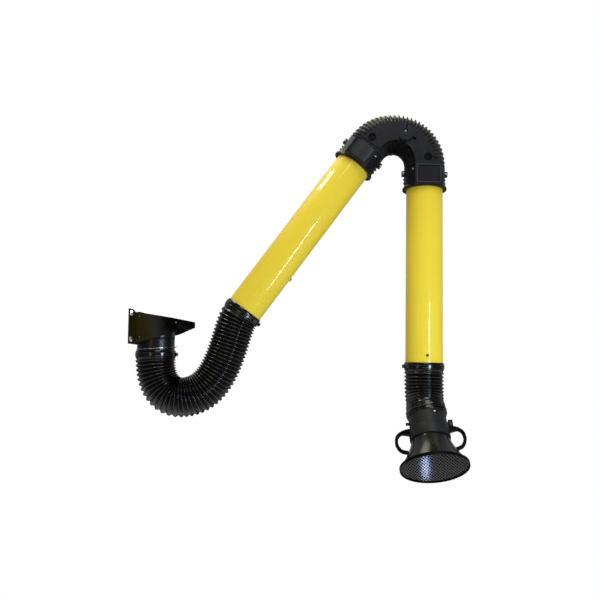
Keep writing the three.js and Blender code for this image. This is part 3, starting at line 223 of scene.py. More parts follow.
def bracket_paint():
    """Black paint with a painted warm reflection: brown near the wall, fading to black towards the nose."""
    p = Paint("bracket_paint", Specular_IOR_Level=0.015)
    parts = p.node("ShaderNodeSeparateXYZ")
    p.link(p.place, parts.inputs["Vector"])
    # Painted reflection: warm brown near the wall that fades to black along X, its edge stirred by noise.
    reach = p.span(parts.outputs["X"], 0, 1, 0.015, 0.105)
    drift = p.span(p.noise(14, 4), -0.12, 0.12)
    both = p.node("ShaderNodeMath", operation="ADD")
    p.link(reach, both.inputs[0])
    p.link(drift, both.inputs[1])
    stops = [(0.24, (0.0225, 0.0162, 0.0030)), (0.55, (0.0250, 0.0230, 0.0185)), (1.0, (0.0010, 0.0010, 0.0010))]
    base = p.ramp(both.outputs["Value"], stops)
    p.colour(edge_wear(p, base, (0.03, 0.027, 0.018), 0.25))
    p.roughness(p.span(p.noise(60, 5), 0.36, 0.42))
    p.bump(p.noise(420, 3), 0.03, 0.0005)
    return p.material


def collar_black():
    p = Paint("collar_black", Specular_IOR_Level=0.45)
    p.colour(p.ramp(p.noise(25, 4), [(0.3, (0.0028, 0.0029, 0.0036)), (0.7, (0.0038, 0.0039, 0.0048))]))
    p.roughness(p.span(p.noise(110, 5), 0.30, 0.36))
    p.bump(p.noise(300, 2), 0.02, 0.0004)
    return p.material


def panel_painted_light():
    # Plastic about three times lighter than the elbow plastic, as painted light on the lit front of the inner collar.
    p = Paint("panel_painted_light", Specular_IOR_Level=0.5)
    p.colour(p.ramp(p.noise(60, 4), [(0.3, (0.027, 0.0275, 0.0255)), (0.7, (0.031, 0.0315, 0.029))]))
    p.roughness(p.span(p.noise(140, 5), 0.26, 0.32))
    p.bump(p.noise(400, 2), 0.03, 0.0004)
    return p.material


def band_black():
    p = Paint("band_black", Specular_IOR_Level=0.7)
    p.colour(p.ramp(p.noise(80, 4), [(0.3, (0.0026, 0.0026, 0.0028)), (0.7, (0.0036, 0.0036, 0.0040))]))
    p.roughness(p.span(p.noise(140, 5), 0.14, 0.20))
    p.bump(p.noise(300, 2), 0.015, 0.0004)
    return p.material


def elbow_plastic():
    p = Paint("elbow_plastic", Specular_IOR_Level=0.15)
    base = p.ramp(p.noise(60, 5), [(0.3, (0.0098, 0.0098, 0.0126)), (0.7, (0.0110, 0.0109, 0.0138))])
    p.colour(edge_wear(p, base, (0.035, 0.035, 0.038), 0.5))
    p.roughness(p.span(p.noise(240, 4), 0.34, 0.40))
    p.bump(p.noise(700, 2), 0.06, 0.0004)
    return p.material


def lip_highlight_plastic():
    # Plastic several times lighter than the elbow plastic, as a painted highlight on the outer halves' window lips.
    p = Paint("lip_highlight_plastic", Specular_IOR_Level=0.35)
    p.colour(p.ramp(p.noise(120, 5), [(0.3, (0.030, 0.030, 0.033)), (0.7, (0.046, 0.046, 0.050))]))
    p.roughness(p.span(p.noise(240, 4), 0.34, 0.42))
    p.bump(p.noise(700, 2), 0.06, 0.0004)
    return p.material


def plug_plastic():
    p = Paint("plug_plastic", Specular_IOR_Level=0.06)
    p.colour(p.ramp(p.noise(60, 4), [(0.3, (0.0010, 0.0010, 0.0010)), (0.7, (0.0018, 0.0018, 0.0018))]))
    p.roughness(p.span(p.noise(240, 4), 0.40, 0.5))
    p.bump(p.noise(700, 2), 0.06, 0.0004)
    return p.material


def hood_plastic():
    p = Paint("hood_plastic", Specular_IOR_Level=0.21)
    p.colour(p.ramp(p.noise(20, 5), [(0.3, (0.0052, 0.0050, 0.0040)), (0.7, (0.0066, 0.0064, 0.0052))]))
    p.roughness(p.span(p.noise(130, 5), 0.15, 0.20))
    p.bump(p.noise(300, 2), 0.02, 0.0004)
    return p.material


def net_steel():
    p = Paint("net_steel", Specular_IOR_Level=0.4)
    p.colour(p.ramp(p.noise(150, 4), [(0.3, (0.005, 0.005, 0.0055)), (0.7, (0.008, 0.008, 0.0085))]))
    p.roughness(p.span(p.noise(300, 3), 0.08, 0.12))
    p.bump(p.noise(900, 2), 0.01, 0.0003)
    return p.material


def handle_plastic():
    p = Paint("handle_plastic", Specular_IOR_Level=0.25)
    p.colour(p.ramp(p.noise(40, 5), [(0.3, (0.0105, 0.0104, 0.0096)), (0.7, (0.0130, 0.0128, 0.0118))]))
    p.roughness(p.span(p.noise(200, 5), 0.42, 0.52))
    p.bump(p.noise(600, 3), 0.05, 0.0004)
    return p.material


def zinc_plate():
    p = Paint("zinc_plate", Metallic=1.0)
    p.colour(p.ramp(p.noise(220, 5), [(0.3, (0.56, 0.56, 0.55)), (0.7, (0.72, 0.72, 0.70))]))
    p.roughness(p.span(p.noise(400, 4), 0.16, 0.32))
    p.bump(p.noise(1600, 2), 0.08, 0.0002)
    return p.material


def dark_zinc():
    p = Paint("dark_zinc", Metallic=0.85)
    p.colour(p.ramp(p.noise(180, 5), [(0.3, (0.035, 0.035, 0.034)), (0.7, (0.06, 0.06, 0.058))]))
    p.roughness(p.span(p.noise(400, 4), 0.25, 0.42))
    p.bump(p.noise(1600, 2), 0.08, 0.0002)
    return p.material


def plain_steel():
    p = Paint("plain_steel", Metallic=1.0)
    brushed = p.noise(60, 6, 0.7, (1, 14, 1))
    p.colour(p.ramp(brushed, [(0.3, (0.30, 0.30, 0.31)), (0.7, (0.42, 0.42, 0.43))]))
    p.roughness(p.span(brushed, 0.30, 0.48))
    p.bump(brushed, 0.08, 0.0004)
    return p.material


def friction_lining():
    p = Paint("friction_lining", Specular_IOR_Level=0.15)
    p.colour(p.ramp(p.noise(500, 6), [(0.3, (0.010, 0.009, 0.008)), (0.7, (0.024, 0.020, 0.017))]))
    p.roughness(p.span(p.noise(300, 3), 0.75, 0.95))
    p.bump(p.noise(1500, 3), 0.3, 0.0004)
    return p.material


YELLOW = yellow_paint()
HOSE = hose_black()
ELBOW_HOSE = elbow_hose_painted_light()
BRACKET = bracket_paint()
COLLAR = collar_black()
PANEL = panel_painted_light()
BAND = band_black()
ELBOW = elbow_plastic()
LIP_HIGHLIGHT = lip_highlight_plastic()
PLUG_BLACK = plug_plastic()
HOOD = hood_plastic()
NET = net_steel()
HANDLE = handle_plastic()
ZINC = zinc_plate()
DARK_ZINC = dark_zinc()
STEEL = plain_steel()
LINING = friction_lining()


# Meshes
def finish_mesh(obj, material, sharp=35.0):
    mesh = obj.data
    mesh.materials.clear()
    mesh.materials.append(material)
    mesh.shade_smooth()
    mesh.set_sharp_from_angle(angle=rad(sharp))


def raw_object(name, points, faces):
    mesh = bpy.data.meshes.new(name)
    mesh.from_pydata([tuple(p) for p in points], [], faces)
    mesh.validate()
    obj = bpy.data.objects.new(name, mesh)
    scene.collection.objects.link(obj)
    return obj


def face_outwards(obj, weld=0.03):
    """Joins points that lie together, and turns every face outwards."""
    work = bmesh.new()
    work.from_mesh(obj.data)
    bmesh.ops.remove_doubles(work, verts=work.verts, dist=weld)
    bmesh.ops.recalc_face_normals(work, faces=work.faces)
    work.to_mesh(obj.data)
    work.free()


def settle(obj, place, material, body, stands_for=(), bevel=0.0, segments=2, sharp=35.0):
    """Takes a mesh in the millimetres of a local frame to its place, and makes it a piece of the object."""
    obj.data.transform(Matrix.Scale(MM, 4) @ place)
    finish_mesh(obj, material, sharp)
    if bevel:
        add_bevel(obj, bevel, segments)
    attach(obj, body)
    if stands_for:
        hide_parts(*stands_for)
    return obj


def add_bevel(obj, width, segments=2, angle=38.0):
    bevel = obj.modifiers.new("soft_edges", "BEVEL")
    bevel.width = width * MM
    bevel.segments = segments
    bevel.limit_method = "ANGLE"
    bevel.angle_limit = rad(angle)
    bevel.harden_normals = True
    bevel.use_clamp_overlap = True


def rounded(outline, radius, steps=4):
    """A closed outline with its corners rounded."""
    made = []
    count = len(outline)
    for i in range(count):
        a, b, c = (Vector(outline[(i + k) % count]) for k in (-1, 0, 1))
        back, on = (a - b), (c - b)
        room = min(back.length, on.length) * 0.45
        back.normalize()
        on.normalize()
        turn = back.angle(on)
        if turn > rad(172):
            made.append(tuple(b))
            continue
        cut = min(radius / math.tan(turn / 2), room)
        start, end = b + back * cut, b + on * cut
        for k in range(steps + 1):
            t = k / steps
            made.append(tuple(start * (1 - t) ** 2 + b * (2 * t * (1 - t)) + end * t**2))
    return made


def lathe(name, outline, sides=96):
    """A closed outline of (radius, height) points turned about the frame's upright axis."""
    points, faces = [], []
    count = len(outline)
    for k in range(sides):
        angle = 2 * math.pi * k / sides
        for r, z in outline:
            points.append((r * math.cos(angle), r * math.sin(angle), z))
    for k in range(sides):
        here, there = k * count, ((k + 1) % sides) * count
        for i in range(count):
            j = (i + 1) % count
            faces.append((here + i, there + i, there + j, here + j))
    obj = raw_object(name, points, faces)
    face_outwards(obj)
    return obj


def box(name, x0, x1, y0, y1, z0, z1):
    points = [(x, y, z) for x in (x0, x1) for y in (y0, y1) for z in (z0, z1)]
    faces = [(0, 1, 3, 2), (4, 6, 7, 5), (0, 4, 5, 1), (2, 3, 7, 6), (0, 2, 6, 4), (1, 5, 7, 3)]
    return raw_object(name, points, faces)


def slab(name, outline, y0, y1):
    """An outline of (x, z) points made thick across the arm's plane."""
    count = len(outline)
    points = [(x, y0, z) for x, z in outline] + [(x, y1, z) for x, z in outline]
    faces = [tuple(range(count)), tuple(range(2 * count - 1, count - 1, -1))]
    faces += [(i, count + i, count + (i + 1) % count, (i + 1) % count) for i in range(count)]
    obj = raw_object(name, points, faces)
    face_outwards(obj)
    return obj


def circle(radius, x=0.0, z=0.0, sides=48):
    turn = 2 * math.pi / sides
    return [(x + radius * math.cos(turn * k), z + radius * math.sin(turn * k)) for k in range(sides)]


def pin(name, radius, x, z, y0, y1, sides=48):
    return slab(name, circle(radius, x, z, sides), y0, y1)


def combine(base, tool, operation):
    """Joins, cuts or keeps what is common, and uses the second mesh up."""
    step = base.modifiers.new("step", "BOOLEAN")
    step.operation = operation
    step.solver = "EXACT"
    step.object = tool
    graph = bpy.context.evaluated_depsgraph_get()
    made = bpy.data.meshes.new_from_object(base.evaluated_get(graph))
    base.modifiers.clear()
    old = base.data
    base.data = made
    bpy.data.meshes.remove(old)
    spent = tool.data
    bpy.data.objects.remove(tool)
    bpy.data.meshes.remove(spent)
    return base


def join(name, objects):
    """Several meshes as one object, each still its own closed body."""
    points, faces = [], []
    for obj in objects:
        offset = len(points)
        points += [tuple(obj.matrix_world @ v.co) for v in obj.data.vertices]
        faces += [tuple(offset + i for i in p.vertices) for p in obj.data.polygons]
        spent = obj.data
        bpy.data.objects.remove(obj)
        bpy.data.meshes.remove(spent)
    return raw_object(name, points, faces)


def along(direction):
    """A frame whose upright axis lies along a direction."""
    return Vector((0, 0, 1)).rotation_difference(Vector(direction)).to_matrix().to_4x4()


def sweep(name, line, widths, side):
    """A bar with a rounded section along a line. widths gives its (across, thick) at each point."""
    ring = 20
    points, faces = [], []
    line = [Vector(p) for p in line]
    for i, p in enumerate(line):
        run = (line[min(i + 1, len(line) - 1)] - line[max(i - 1, 0)]).normalized()
        across = (side - run * side.dot(run)).normalized()
        thick = run.cross(across)
        a, b = widths[i]
        for k in range(ring):
            t = 2 * math.pi * k / ring
            c, s = math.cos(t), math.sin(t)
            u = math.copysign(abs(c) ** 0.55, c) * a / 2
            v = math.copysign(abs(s) ** 0.55, s) * b / 2
            points.append(p + across * u + thick * v)
    for i in range(len(line) - 1):
        for k in range(ring):
            l = (k + 1) % ring
            faces.append((i * ring + k, i * ring + l, (i + 1) * ring + l, (i + 1) * ring + k))
    faces.append(tuple(range(ring)))
    faces.append(tuple(range(len(points) - 1, len(points) - ring - 1, -1)))
    obj = raw_object(name, points, faces)
    face_outwards(obj)
    return obj


def keep_node(name, material, bevel=0.4, segments=2):
    """A solid of the part whose shape is right gets a finish and softened edges."""
    obj = nodes[name]
    finish_material(obj, material)
    if bevel:
        add_bevel(obj, bevel, segments)


def finish_material(obj, material):
    obj.data.materials.clear()
    obj.data.materials.append(material)


# Fasteners
def hex_bolt(name, flats, height, washer, washer_thick, shank, grip):
    """A hexagon bolt with its washer, head up +Z, its seat at height 0."""
    sides = 72
    top = washer_thick + height
    points, faces = [], []
    for z, hexagonal in ((washer_thick, True), (top - height * 0.16, True), (top, False)):
        for k in range(sides):
            angle = 2 * math.pi * k / sides
            corner = (angle % (math.pi / 3)) - math.pi / 6
            r = flats / 2 / math.cos(corner) if hexagonal else flats * 0.44
            points.append((r * math.cos(angle), r * math.sin(angle), z))
    for row in (0, sides):
        for k in range(sides):
            l = (k + 1) % sides
            faces.append((row + k, row + l, row + sides + l, row + sides + k))
    faces.append(tuple(range(sides)))
    faces.append(tuple(range(3 * sides - 1, 2 * sides - 1, -1)))
    head = raw_object(name + "_head", points, faces)
    face_outwards(head)
    section = [(shank, 0), (washer, 0), (washer, washer_thick), (shank, washer_thick)]
    ring = lathe(name + "_washer", rounded(section, 0.4), 64)
    stem_top = washer_thick + 0.2
    stem_line = [(0.01, -grip), (shank - 0.2, -grip), (shank - 0.2, stem_top), (0.01, stem_top)]
    stem = lathe(name + "_stem", stem_line, 32)
    return join(name, [head, ring, stem])


def domed_screw(name, head, height, shank, grip, recess=True):
    """A pan-head screw with a cross recess, head up +Z, its seat at height 0."""
    dome = [(0.01, height), (head * 0.35, height * 0.98), (head * 0.7, height * 0.82), (head * 0.92, height * 0.5), (head, height * 0.2), (head * 0.98, 0)]
    outline = dome + [(shank, 0), (shank, -grip), (0.01, -grip)]
    made = lathe(name, outline, 40)
    if recess:
        arm, half = head * 0.55, head * 0.13
        for x, y in ((arm, half), (half, arm)):
            made = combine(made, box("recess", -x, x, -y, y, height * 0.45, height + 1), "DIFFERENCE")
    return made


# Wall bracket
for name in ("wall_plate", "bracket_frame"):
    keep_node(name, BRACKET, 0.7, 3)

PLATE_THICK = 3.0
GAP = 0.4
face_out = Matrix.Rotation(rad(90), 4, "Y")
for i, (y, z) in enumerate([(-67.5, 33.5), (-67.5, -33.5), (67.5, 33.5), (67.5, -33.5)]):
    bolt = hex_bolt(f"wall_bolt_{i + 1}_fine", 13.0, 5.4, 8.1, 1.6, 4.0, PLATE_THICK + GAP)
    turn = Matrix.Rotation(rad(17 + 23 * i), 4, "Z")
    place = Matrix.Translation((PLATE_THICK + GAP, y, z)) @ face_out @ turn
    settle(bolt, place, ZINC, "wall_bracket", (f"wall_bolt_{i + 1}",))

cheek_middle = (38.6 - 45.0) / 2
for i, (side, z) in enumerate([(-1, 27), (-1, -27), (1, 27), (1, -27)]):
    bolt = domed_screw(f"cheek_bolt_{i + 1}_fine", 4.5, 2.5, 2.4, 6.8)
    place = Matrix.Translation((24.5, side * 59.4, cheek_middle + z)) @ along((0, side, 0))
    settle(bolt, place, DARK_ZINC, "wall_bracket", (f"cheek_bolt_{i + 1}",))
for side, where in ((-1, "front"), (1, "rear")):
    rivet = domed_screw(f"bracket_rivet_{where}", 2.2, 1.3, 1.2, 2.4, False)
    place = Matrix.Translation((119.8, side * 50.26, 10.2)) @ along((0.7, side * 0.714, 0))
    settle(rivet, place, STEEL, "wall_bracket")

spigot = lathe("duct_spigot_fine", rounded([(51, -1.6), (53.4, -1.6), (53.4, 12.4), (53.9, 13.6), (53.4, 14.8), (53.4, 17.4), (51, 17.4)], 0.7), 128)
settle(spigot, swivel_frame, BRACKET, "wall_bracket", ("duct_spigot",))
housing = lathe("swivel_housing_fine", rounded([(46.5, -29), (50.5, -29), (50.5, -6.4), (46.5, -6.4)], 0.8), 128)
settle(housing, swivel_frame, COLLAR, "wall_bracket", ("swivel_housing",))

# Swivel
SHOULDER = -29 - 2 * GAP - 1.4
collar = lathe(
    "swivel_collar_fine",
    rounded(
        [(47, -82), (50, -82), (50, -34.7), (50.3, -34.2), (50.3, SHOULDER), (46, SHOULDER), (46, 2.4), (43, 2.4), (43, SHOULDER - 6), (47, SHOULDER - 6)],
        0.9,
    ),
    128,
)
settle(collar, swivel_frame, COLLAR, "swivel", ("swivel_collar",))
washer = lathe("bearing_washer_fine", rounded([(46.5, SHOULDER + GAP), (50.1, SHOULDER + GAP), (50.1, SHOULDER + GAP + 1.4), (46.5, SHOULDER + GAP + 1.4)], 0.3), 128)
settle(washer, swivel_frame, LINING, "swivel", ("bearing_washer",))
retainer = lathe("retaining_ring_fine", rounded([(46.4, -1.6), (50, -1.6), (50, 2.0), (46.4, 2.0)], 0.5), 128)
settle(retainer, swivel_frame, STEEL, "swivel", ("retaining_ring",))


def wire_clip():
    """A sprung wire round the collar. It rises towards its bent tail."""
    line, steps = [], 96
    for k in range(steps + 1):
        angle = rad(12) + (2 * math.pi - rad(24)) * k / steps
        lift = 6.0 * ((1 + math.cos(angle)) / 2) ** 2
        line.append((51.3 * math.cos(angle), 51.3 * math.sin(angle), -59.4 + lift))
    start, end = Vector(line[0]), Vector(line[-1])
    head = [end + Vector((1.5, 2.5, 0.5)), end + Vector((4.5, 3.5, 1.0)), end + Vector((8.5, 1.0, 1.6))]
    line = [start + Vector((3.4, -0.4, 0.3)), start + Vector((1.2, -1.4, 0.1))] + line + head
    return sweep("collar_wire_clip_fine", line, [(1.8, 1.8)] * len(line), Vector((0, 0, 1)))


settle(wire_clip(), swivel_frame, ZINC, "swivel", ("collar_wire_clip",))
keep_node("drop_arm", STEEL, 0.6)


def hose_clamp(name, cuff, centre, block_angle, place, body, node, band_material, screw_material):
    """A worm-drive clamp: band, housing and a slotted round-headed screw."""
    inner = cuff + 0.25
    outer = inner + 1.3
    half = 4.5
    section = [(inner, centre - half), (outer, centre - half), (outer, centre - half + 1.2), (outer - 0.35, centre - half + 1.8),
               (outer - 0.35, centre + half - 1.8), (outer, centre + half - 1.2), (outer, centre + half), (inner, centre + half)]
    band = lathe(name + "_band", rounded(section, 0.3, 3), 128)
    house_line = rounded([(-6.0, outer - 0.3), (6.0, outer - 0.3), (5.2, outer + 4.2), (-5.2, outer + 4.2)], 1.5, 5)
    count = len(house_line)
    points = [(r, t, centre - half - 0.4) for t, r in house_line] + [(r, t, centre + half + 0.4) for t, r in house_line]
    faces = [tuple(range(count)), tuple(range(2 * count - 1, count - 1, -1))]
    faces += [(i, count + i, count + (i + 1) % count, (i + 1) % count) for i in range(count)]
    house = raw_object(name + "_house", points, faces)
    face_outwards(house)
    screw = domed_screw(name + "_screw", 2.9, 3.0, 2.1, 10.5, False)
    screw = combine(screw, box("slot", -4, 4, -0.45, 0.45, 1.6, 4), "DIFFERENCE")
    screw.data.transform(Matrix.Translation((outer + 2.0, 6.1, centre)) @ along((0, 1, 0)))
    turn = Matrix.Rotation(rad(block_angle), 4, "Z")
    fastener = join(name + "_fastener", [house, screw])
    settle(fastener, place @ turn, screw_material, body)
    settle(band, place, band_material, body, (node,))


CUFF_R = 53.3
hose_clamp("base_hose_clamp_top_fine", CUFF_R, -73.0, 0, swivel_frame, "swivel", "base_hose_clamp_top", BAND, DARK_ZINC)
hose_clamp("base_hose_clamp_bottom_fine", CUFF_R, -11.0, 0, inner_frame, "inner_arm", "base_hose_clamp_bottom", BAND, DARK_ZINC)
hose_clamp("hood_hose_clamp_top_fine", CUFF_R, -OUTER_SEEN - 11.0, 180, outer_frame, "outer_arm", "hood_hose_clamp_top", BAND, DARK_ZINC)
hose_clamp("hood_hose_clamp_bottom_fine", 52.3, -49.0, -50, hood_frame, "hood", "hood_hose_clamp_bottom", BAND, DARK_ZINC)


# Hoses
class Route:
    """A line through space that can be asked for a point and a direction by its length."""

    def __init__(self, points):
        self.points = np.array([tuple(p) for p in points], float)
        steps = np.linalg.norm(np.diff(self.points, axis=0), axis=1)
        self.at = np.concatenate([[0.0], np.cumsum(steps)])
        self.length = float(self.at[-1])

    def point(self, s):
        return Vector([float(np.interp(s, self.at, self.points[:, k])) for k in range(3)])

    def run(self, s):
        reach = 1.5
        low, high = max(s - reach, 0.0), min(s + reach, self.length)
        return (self.point(high) - self.point(low)).normalized()


def straight(a, b, steps=40):
    return [a.lerp(b, k / steps) for k in range(steps)]


def cubic(a, b, c, d, steps=160):
    made = []
    for k in range(steps):
        t = k / steps
        made.append(a * (1 - t) ** 3 + b * (3 * t * (1 - t) ** 2) + c * (3 * t**2 * (1 - t)) + d * t**3)
    return made


def smooth(t):
    t = np.clip(t, 0, 1)
    return t * t * (3 - 2 * t)


def rib_rows(start, end, ribs, valley, crest, per_rib=12):
    """Rows of (length, radius) for ribs with a rounded crest. valley and crest are radii by length."""
    rows = []
    total = ribs * per_rib
    for k in range(total + 1):
        s = start + (end - start) * k / total
        wave = (0.5 - 0.5 * math.cos(2 * math.pi * (k % per_rib) / per_rib)) ** 0.85
        rows.append((s, valley(s) + (crest(s) - valley(s)) * wave))
    return rows


def over_tube(length, free, held, ends):
    """A valley radius that is held up where the hose lies over a tube at its start or its end."""

    def valley(s):
        start, end = ends
        near = max(1 - smooth((s - start) / 8.0), 1 - smooth((length - end - s) / 8.0))
        return free + (held - free) * float(near)

    return valley


def hose(name, route, outside, inside, side, paint=HOSE, sides=72):
    """A closed hose wall. outside and inside are rows of (length, radius) from start to end."""
    rows = list(outside) + list(reversed(inside))
    points, faces, lengths = [], [], []
    for s, r in rows:
        centre, run = route.point(s), route.run(s)
        across = (side - run * side.dot(run)).normalized()
        up = across.cross(run)
        for k in range(sides):
            t = 2 * math.pi * k / sides
            points.append((centre + across * (r * math.cos(t)) + up * (r * math.sin(t))) * MM)
            lengths.append(s)
    for i in range(len(rows)):
        here, there = i * sides, ((i + 1) % len(rows)) * sides
        for k in range(sides):
            l = (k + 1) % sides
            faces.append((here + k, there + k, there + l, here + l))
    obj = raw_object(name, points, faces)
    face_outwards(obj, 0)
    finish_mesh(obj, paint, 50)
    return obj, np.array(lengths)


def bend_with(obj, low, high, route):
    """Bakes the hose's place into its mesh; the points at the two lengths are found but not used."""
    start, end = route.point(low) * MM, route.point(high) * MM
    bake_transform(obj)


def flat(value):
    return lambda share: value


Y_SIDE = Vector((0, 1, 0))
X_SIDE = Vector((1, 0, 0))

# Base hose
CUFF = 13.0
seen_foot = Vector((57, 0, -62))
drop_end = Vector((57, 0, -62 - OVERLAP))
sag = Vector((127, 0, -188))
tube_foot = ARM_FOOT - arm_along * OVERLAP
ROUND = 0.62
fall = (drop_end, drop_end.lerp(Vector((57, 0, sag.z)), ROUND), sag.lerp(Vector((57, 0, sag.z)), ROUND), sag)
climb = (sag, sag + Vector((120, 0, 0)), tube_foot - arm_along * 54, tube_foot)
base_points = straight(seen_foot, drop_end) + cubic(*fall) + cubic(*climb) + straight(tube_foot, ARM_FOOT) + [ARM_FOOT]
base_route = Route(base_points)
base_length = base_route.length
cuff_rows = [(0, 51.2), (0.4, 52.4), (1.2, CUFF_R), (CUFF - 3, CUFF_R), (CUFF - 1, 52.6)]
outside = cuff_rows + rib_rows(CUFF, base_length - CUFF, 46, over_tube(base_length, 48.2, 51.7, (OVERLAP, OVERLAP)), flat(53.7))
outside += [(base_length - s, r) for s, r in reversed(cuff_rows)]
inside = [(0, 50.3), (OVERLAP, 50.3), (OVERLAP + 1, 46.5)]
inside += [(s, 46.5) for s in np.linspace(OVERLAP + 12, base_length - OVERLAP - 12, 40)]
inside += [(base_length - s, r) for s, r in ((OVERLAP + 1, 46.5), (OVERLAP, 50.3), (0, 50.3))]
base_hose, at = hose("base_hose_ribbed", base_route, outside, inside, Y_SIDE)
sag_at = OVERLAP + Route(cubic(*fall) + [sag]).length
bend_with(base_hose, sag_at - 60, sag_at + 110, base_route)
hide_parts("base_hose")

# Elbow hose
elbow_points = straight(Vector((0, 0, 13)), Vector((0, 0, ELBOW_STRAIGHT)))
for k in range(240):
    x, z = bend_point(BEND_R, ELBOW_TURN * k / 240)
    elbow_points.append(Vector((x, 0, z)))
x, z = bend_point(BEND_R, ELBOW_TURN)
bend_end = Vector((x, 0, z))
bend_run = Vector((math.sin(ELBOW_TURN), 0, math.cos(ELBOW_TURN)))
elbow_points += straight(bend_end, bend_end + bend_run * 57) + [bend_end + bend_run * 57]
elbow_route = Route([inner_elbow @ p for p in elbow_points])
elbow_length = elbow_route.length
cuff_rows = [(0, 51.0), (1.0, 52.2), (46, 52.2), (48, 50.5)]
outside = cuff_rows + rib_rows(49, elbow_length - 49, 30, flat(50.4), flat(56.2))
outside += [(elbow_length - s, r) for s, r in reversed(cuff_rows)]
inside = [(0, 50.3), (45, 50.3), (46, 46.5)]
inside += [(s, 46.5) for s in np.linspace(60, elbow_length - 60, 30)]
inside += [(elbow_length - s, r) for s, r in ((46, 46.5), (45, 50.3), (0, 50.3))]
elbow_hose, at = hose("elbow_hose_ribbed", elbow_route, outside, inside, Y_SIDE, ELBOW_HOSE)
bend_with(elbow_hose, 60, elbow_length - 60, elbow_route)
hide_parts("elbow_hose")

# Hood hose, in two lengths that meet near the joint
tube_end = outer_foot - outer_along * OVERLAP
neck_top = hood_pivot + hood_along * NECK_START
pull = (neck_top - tube_end).length / 3
hose_foot = hood_pivot + hood_along * HOSE_END
hood_points = straight(outer_foot, tube_end)
hood_points += cubic(tube_end, tube_end - outer_along * pull, neck_top - hood_along * pull, neck_top)
hood_points += straight(neck_top, hose_foot) + [hose_foot]
hood_route = Route(hood_points)
hood_length = hood_route.length
hood_ribs = 12
rib_end = hood_length - 16
rib_pitch = (rib_end - CUFF) / hood_ribs
hood_valley = over_tube(hood_length, 48.2, 51.7, (OVERLAP, HOSE_END - NECK_START))


def hood_crest(s):
    full = 53.6 - 1.4 * s / hood_length
    faded = 1 - 0.55 * float(smooth((s / hood_length - 0.42) / 0.35))
    return hood_valley(s) + (full - hood_valley(s)) * faded


rows = rib_rows(CUFF, rib_end, hood_ribs, hood_valley, hood_crest)
cut = CUFF + 6 * rib_pitch
upper_out = [(0, 51.2), (0.4, 52.4), (1.2, CUFF_R), (CUFF - 3, CUFF_R), (CUFF - 1, 52.6)]
upper_out += [row for row in rows if row[0] <= cut + 1e-6]
upper_in = [(0, 50.3), (OVERLAP, 50.3), (OVERLAP + 1, 46.3)] + [(s, 46.3) for s in np.linspace(OVERLAP + 6, cut, 8)]
lower_out = [row for row in rows if row[0] >= cut - 1e-6]
lower_out += [(hood_length - 14, 52.2), (hood_length - 1.5, 52.2), (hood_length - 0.5, 51.8), (hood_length, 50.6)]
neck_in = hood_length - (HOSE_END - NECK_START)
lower_in = [(s, 46.3) for s in np.linspace(cut, neck_in - 4, 8)]
lower_in += [(neck_in - 1, 46.3), (neck_in, 49.3), (hood_length, 49.3)]
hood_hose_upper, at = hose("hood_hose_upper", hood_route, upper_out, upper_in, X_SIDE)
bend_with(hood_hose_upper, OVERLAP + 2, cut, hood_route)
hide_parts("hood_hose")
hood_hose_lower, at = hose("hood_hose_lower", hood_route, lower_out, lower_in, X_SIDE)
bend_with(hood_hose_lower, cut, neck_in - 2, hood_route)

# Tubes
inner_tube = lathe("inner_tube_fine", rounded([(TUBE_BORE, -OVERLAP + GAP), (TUBE_R, -OVERLAP + GAP), (TUBE_R, INNER_SEEN + 56), (TUBE_BORE, INNER_SEEN + 56)], 0.5, 3), 160)
settle(inner_tube, inner_frame, YELLOW, "inner_arm", ("inner_tube",))
outer_tube = lathe("outer_tube_fine", rounded([(TUBE_BORE, -OUTER_SEEN - OVERLAP + GAP), (TUBE_R, -OUTER_SEEN - OVERLAP + GAP), (TUBE_R, 56), (TUBE_BORE, 56)], 0.5, 3), 160)
settle(outer_tube, outer_frame, YELLOW, "outer_arm", ("outer_tube",))

screw = domed_screw("inner_tube_screw_fine", 5.5, 3.4, 2.4, 14.0)
settle(screw, inner_frame @ Matrix.Translation((TUBE_R + GAP, 0, 139)) @ along((1, 0, 0)), ZINC, "inner_arm", ("inner_tube_screw",))
for side, place in ((-1, "front"), (1, "rear")):
    screw = domed_screw(f"outer_tube_screw_{place}_fine", 4.0, 2.4, 2.4, 12.0)
    spot = Matrix.Translation((0, side * (TUBE_R + GAP), -OUTER_SEEN + 19)) @ along((0, side, 0))
    settle(screw, outer_frame @ spot, DARK_ZINC, "outer_arm", (f"outer_tube_screw_{place}",))

for name in ("tilt_arm", "hood_yoke_upper", "hood_yoke_lower"):
    keep_node(name, STEEL, 0.6)
for name in ("tilt_pin", "tilt_nut", "gimbal_cross"):
    keep_node(name, ZINC, 0.4)
keep_node("damper_shaft", DARK_ZINC, 0.4)
for name in ("tilt_disc_front", "tilt_disc_rear", "elbow_washer_front", "elbow_washer_rear"):
    keep_node(name, LINING, 0.2, 1)

# Elbow
COLLAR_IN = (TUBE_R + GAP) / math.cos(math.pi / 12) + 1.2 + GAP
COLLAR_OUT = COLLAR_IN + 2.4
OUTER_Y = (COLLAR_OUT + 1.3, COLLAR_OUT + 5.8)
INNER_Y = (OUTER_Y[1] + 2.0, OUTER_Y[1] + 6.5)
LOBE_R = 26.0
PLATE_IN_R, PLATE_OUT_R = 51.0, 103.0
COLLAR_LENGTH = 62.0
PLUG = bend_point(87.0, rad(5))
CLIP_X = COLLAR_OUT + 3.5


def notch(y0, y1):
    """The wedge that is cut out of the side plates over the pivot."""
    turn = ELBOW_TURN / 2
    apex = bend_point(PIVOT_R + 8, turn)
    far = PLATE_OUT_R + LOBE_R - PIVOT_R
    edges = [turn + side * rad(40) for side in (-1, 1)]
    return slab("notch", [apex] + [(apex[0] - far * math.cos(a), apex[1] + far * math.sin(a)) for a in edges], y0, y1)


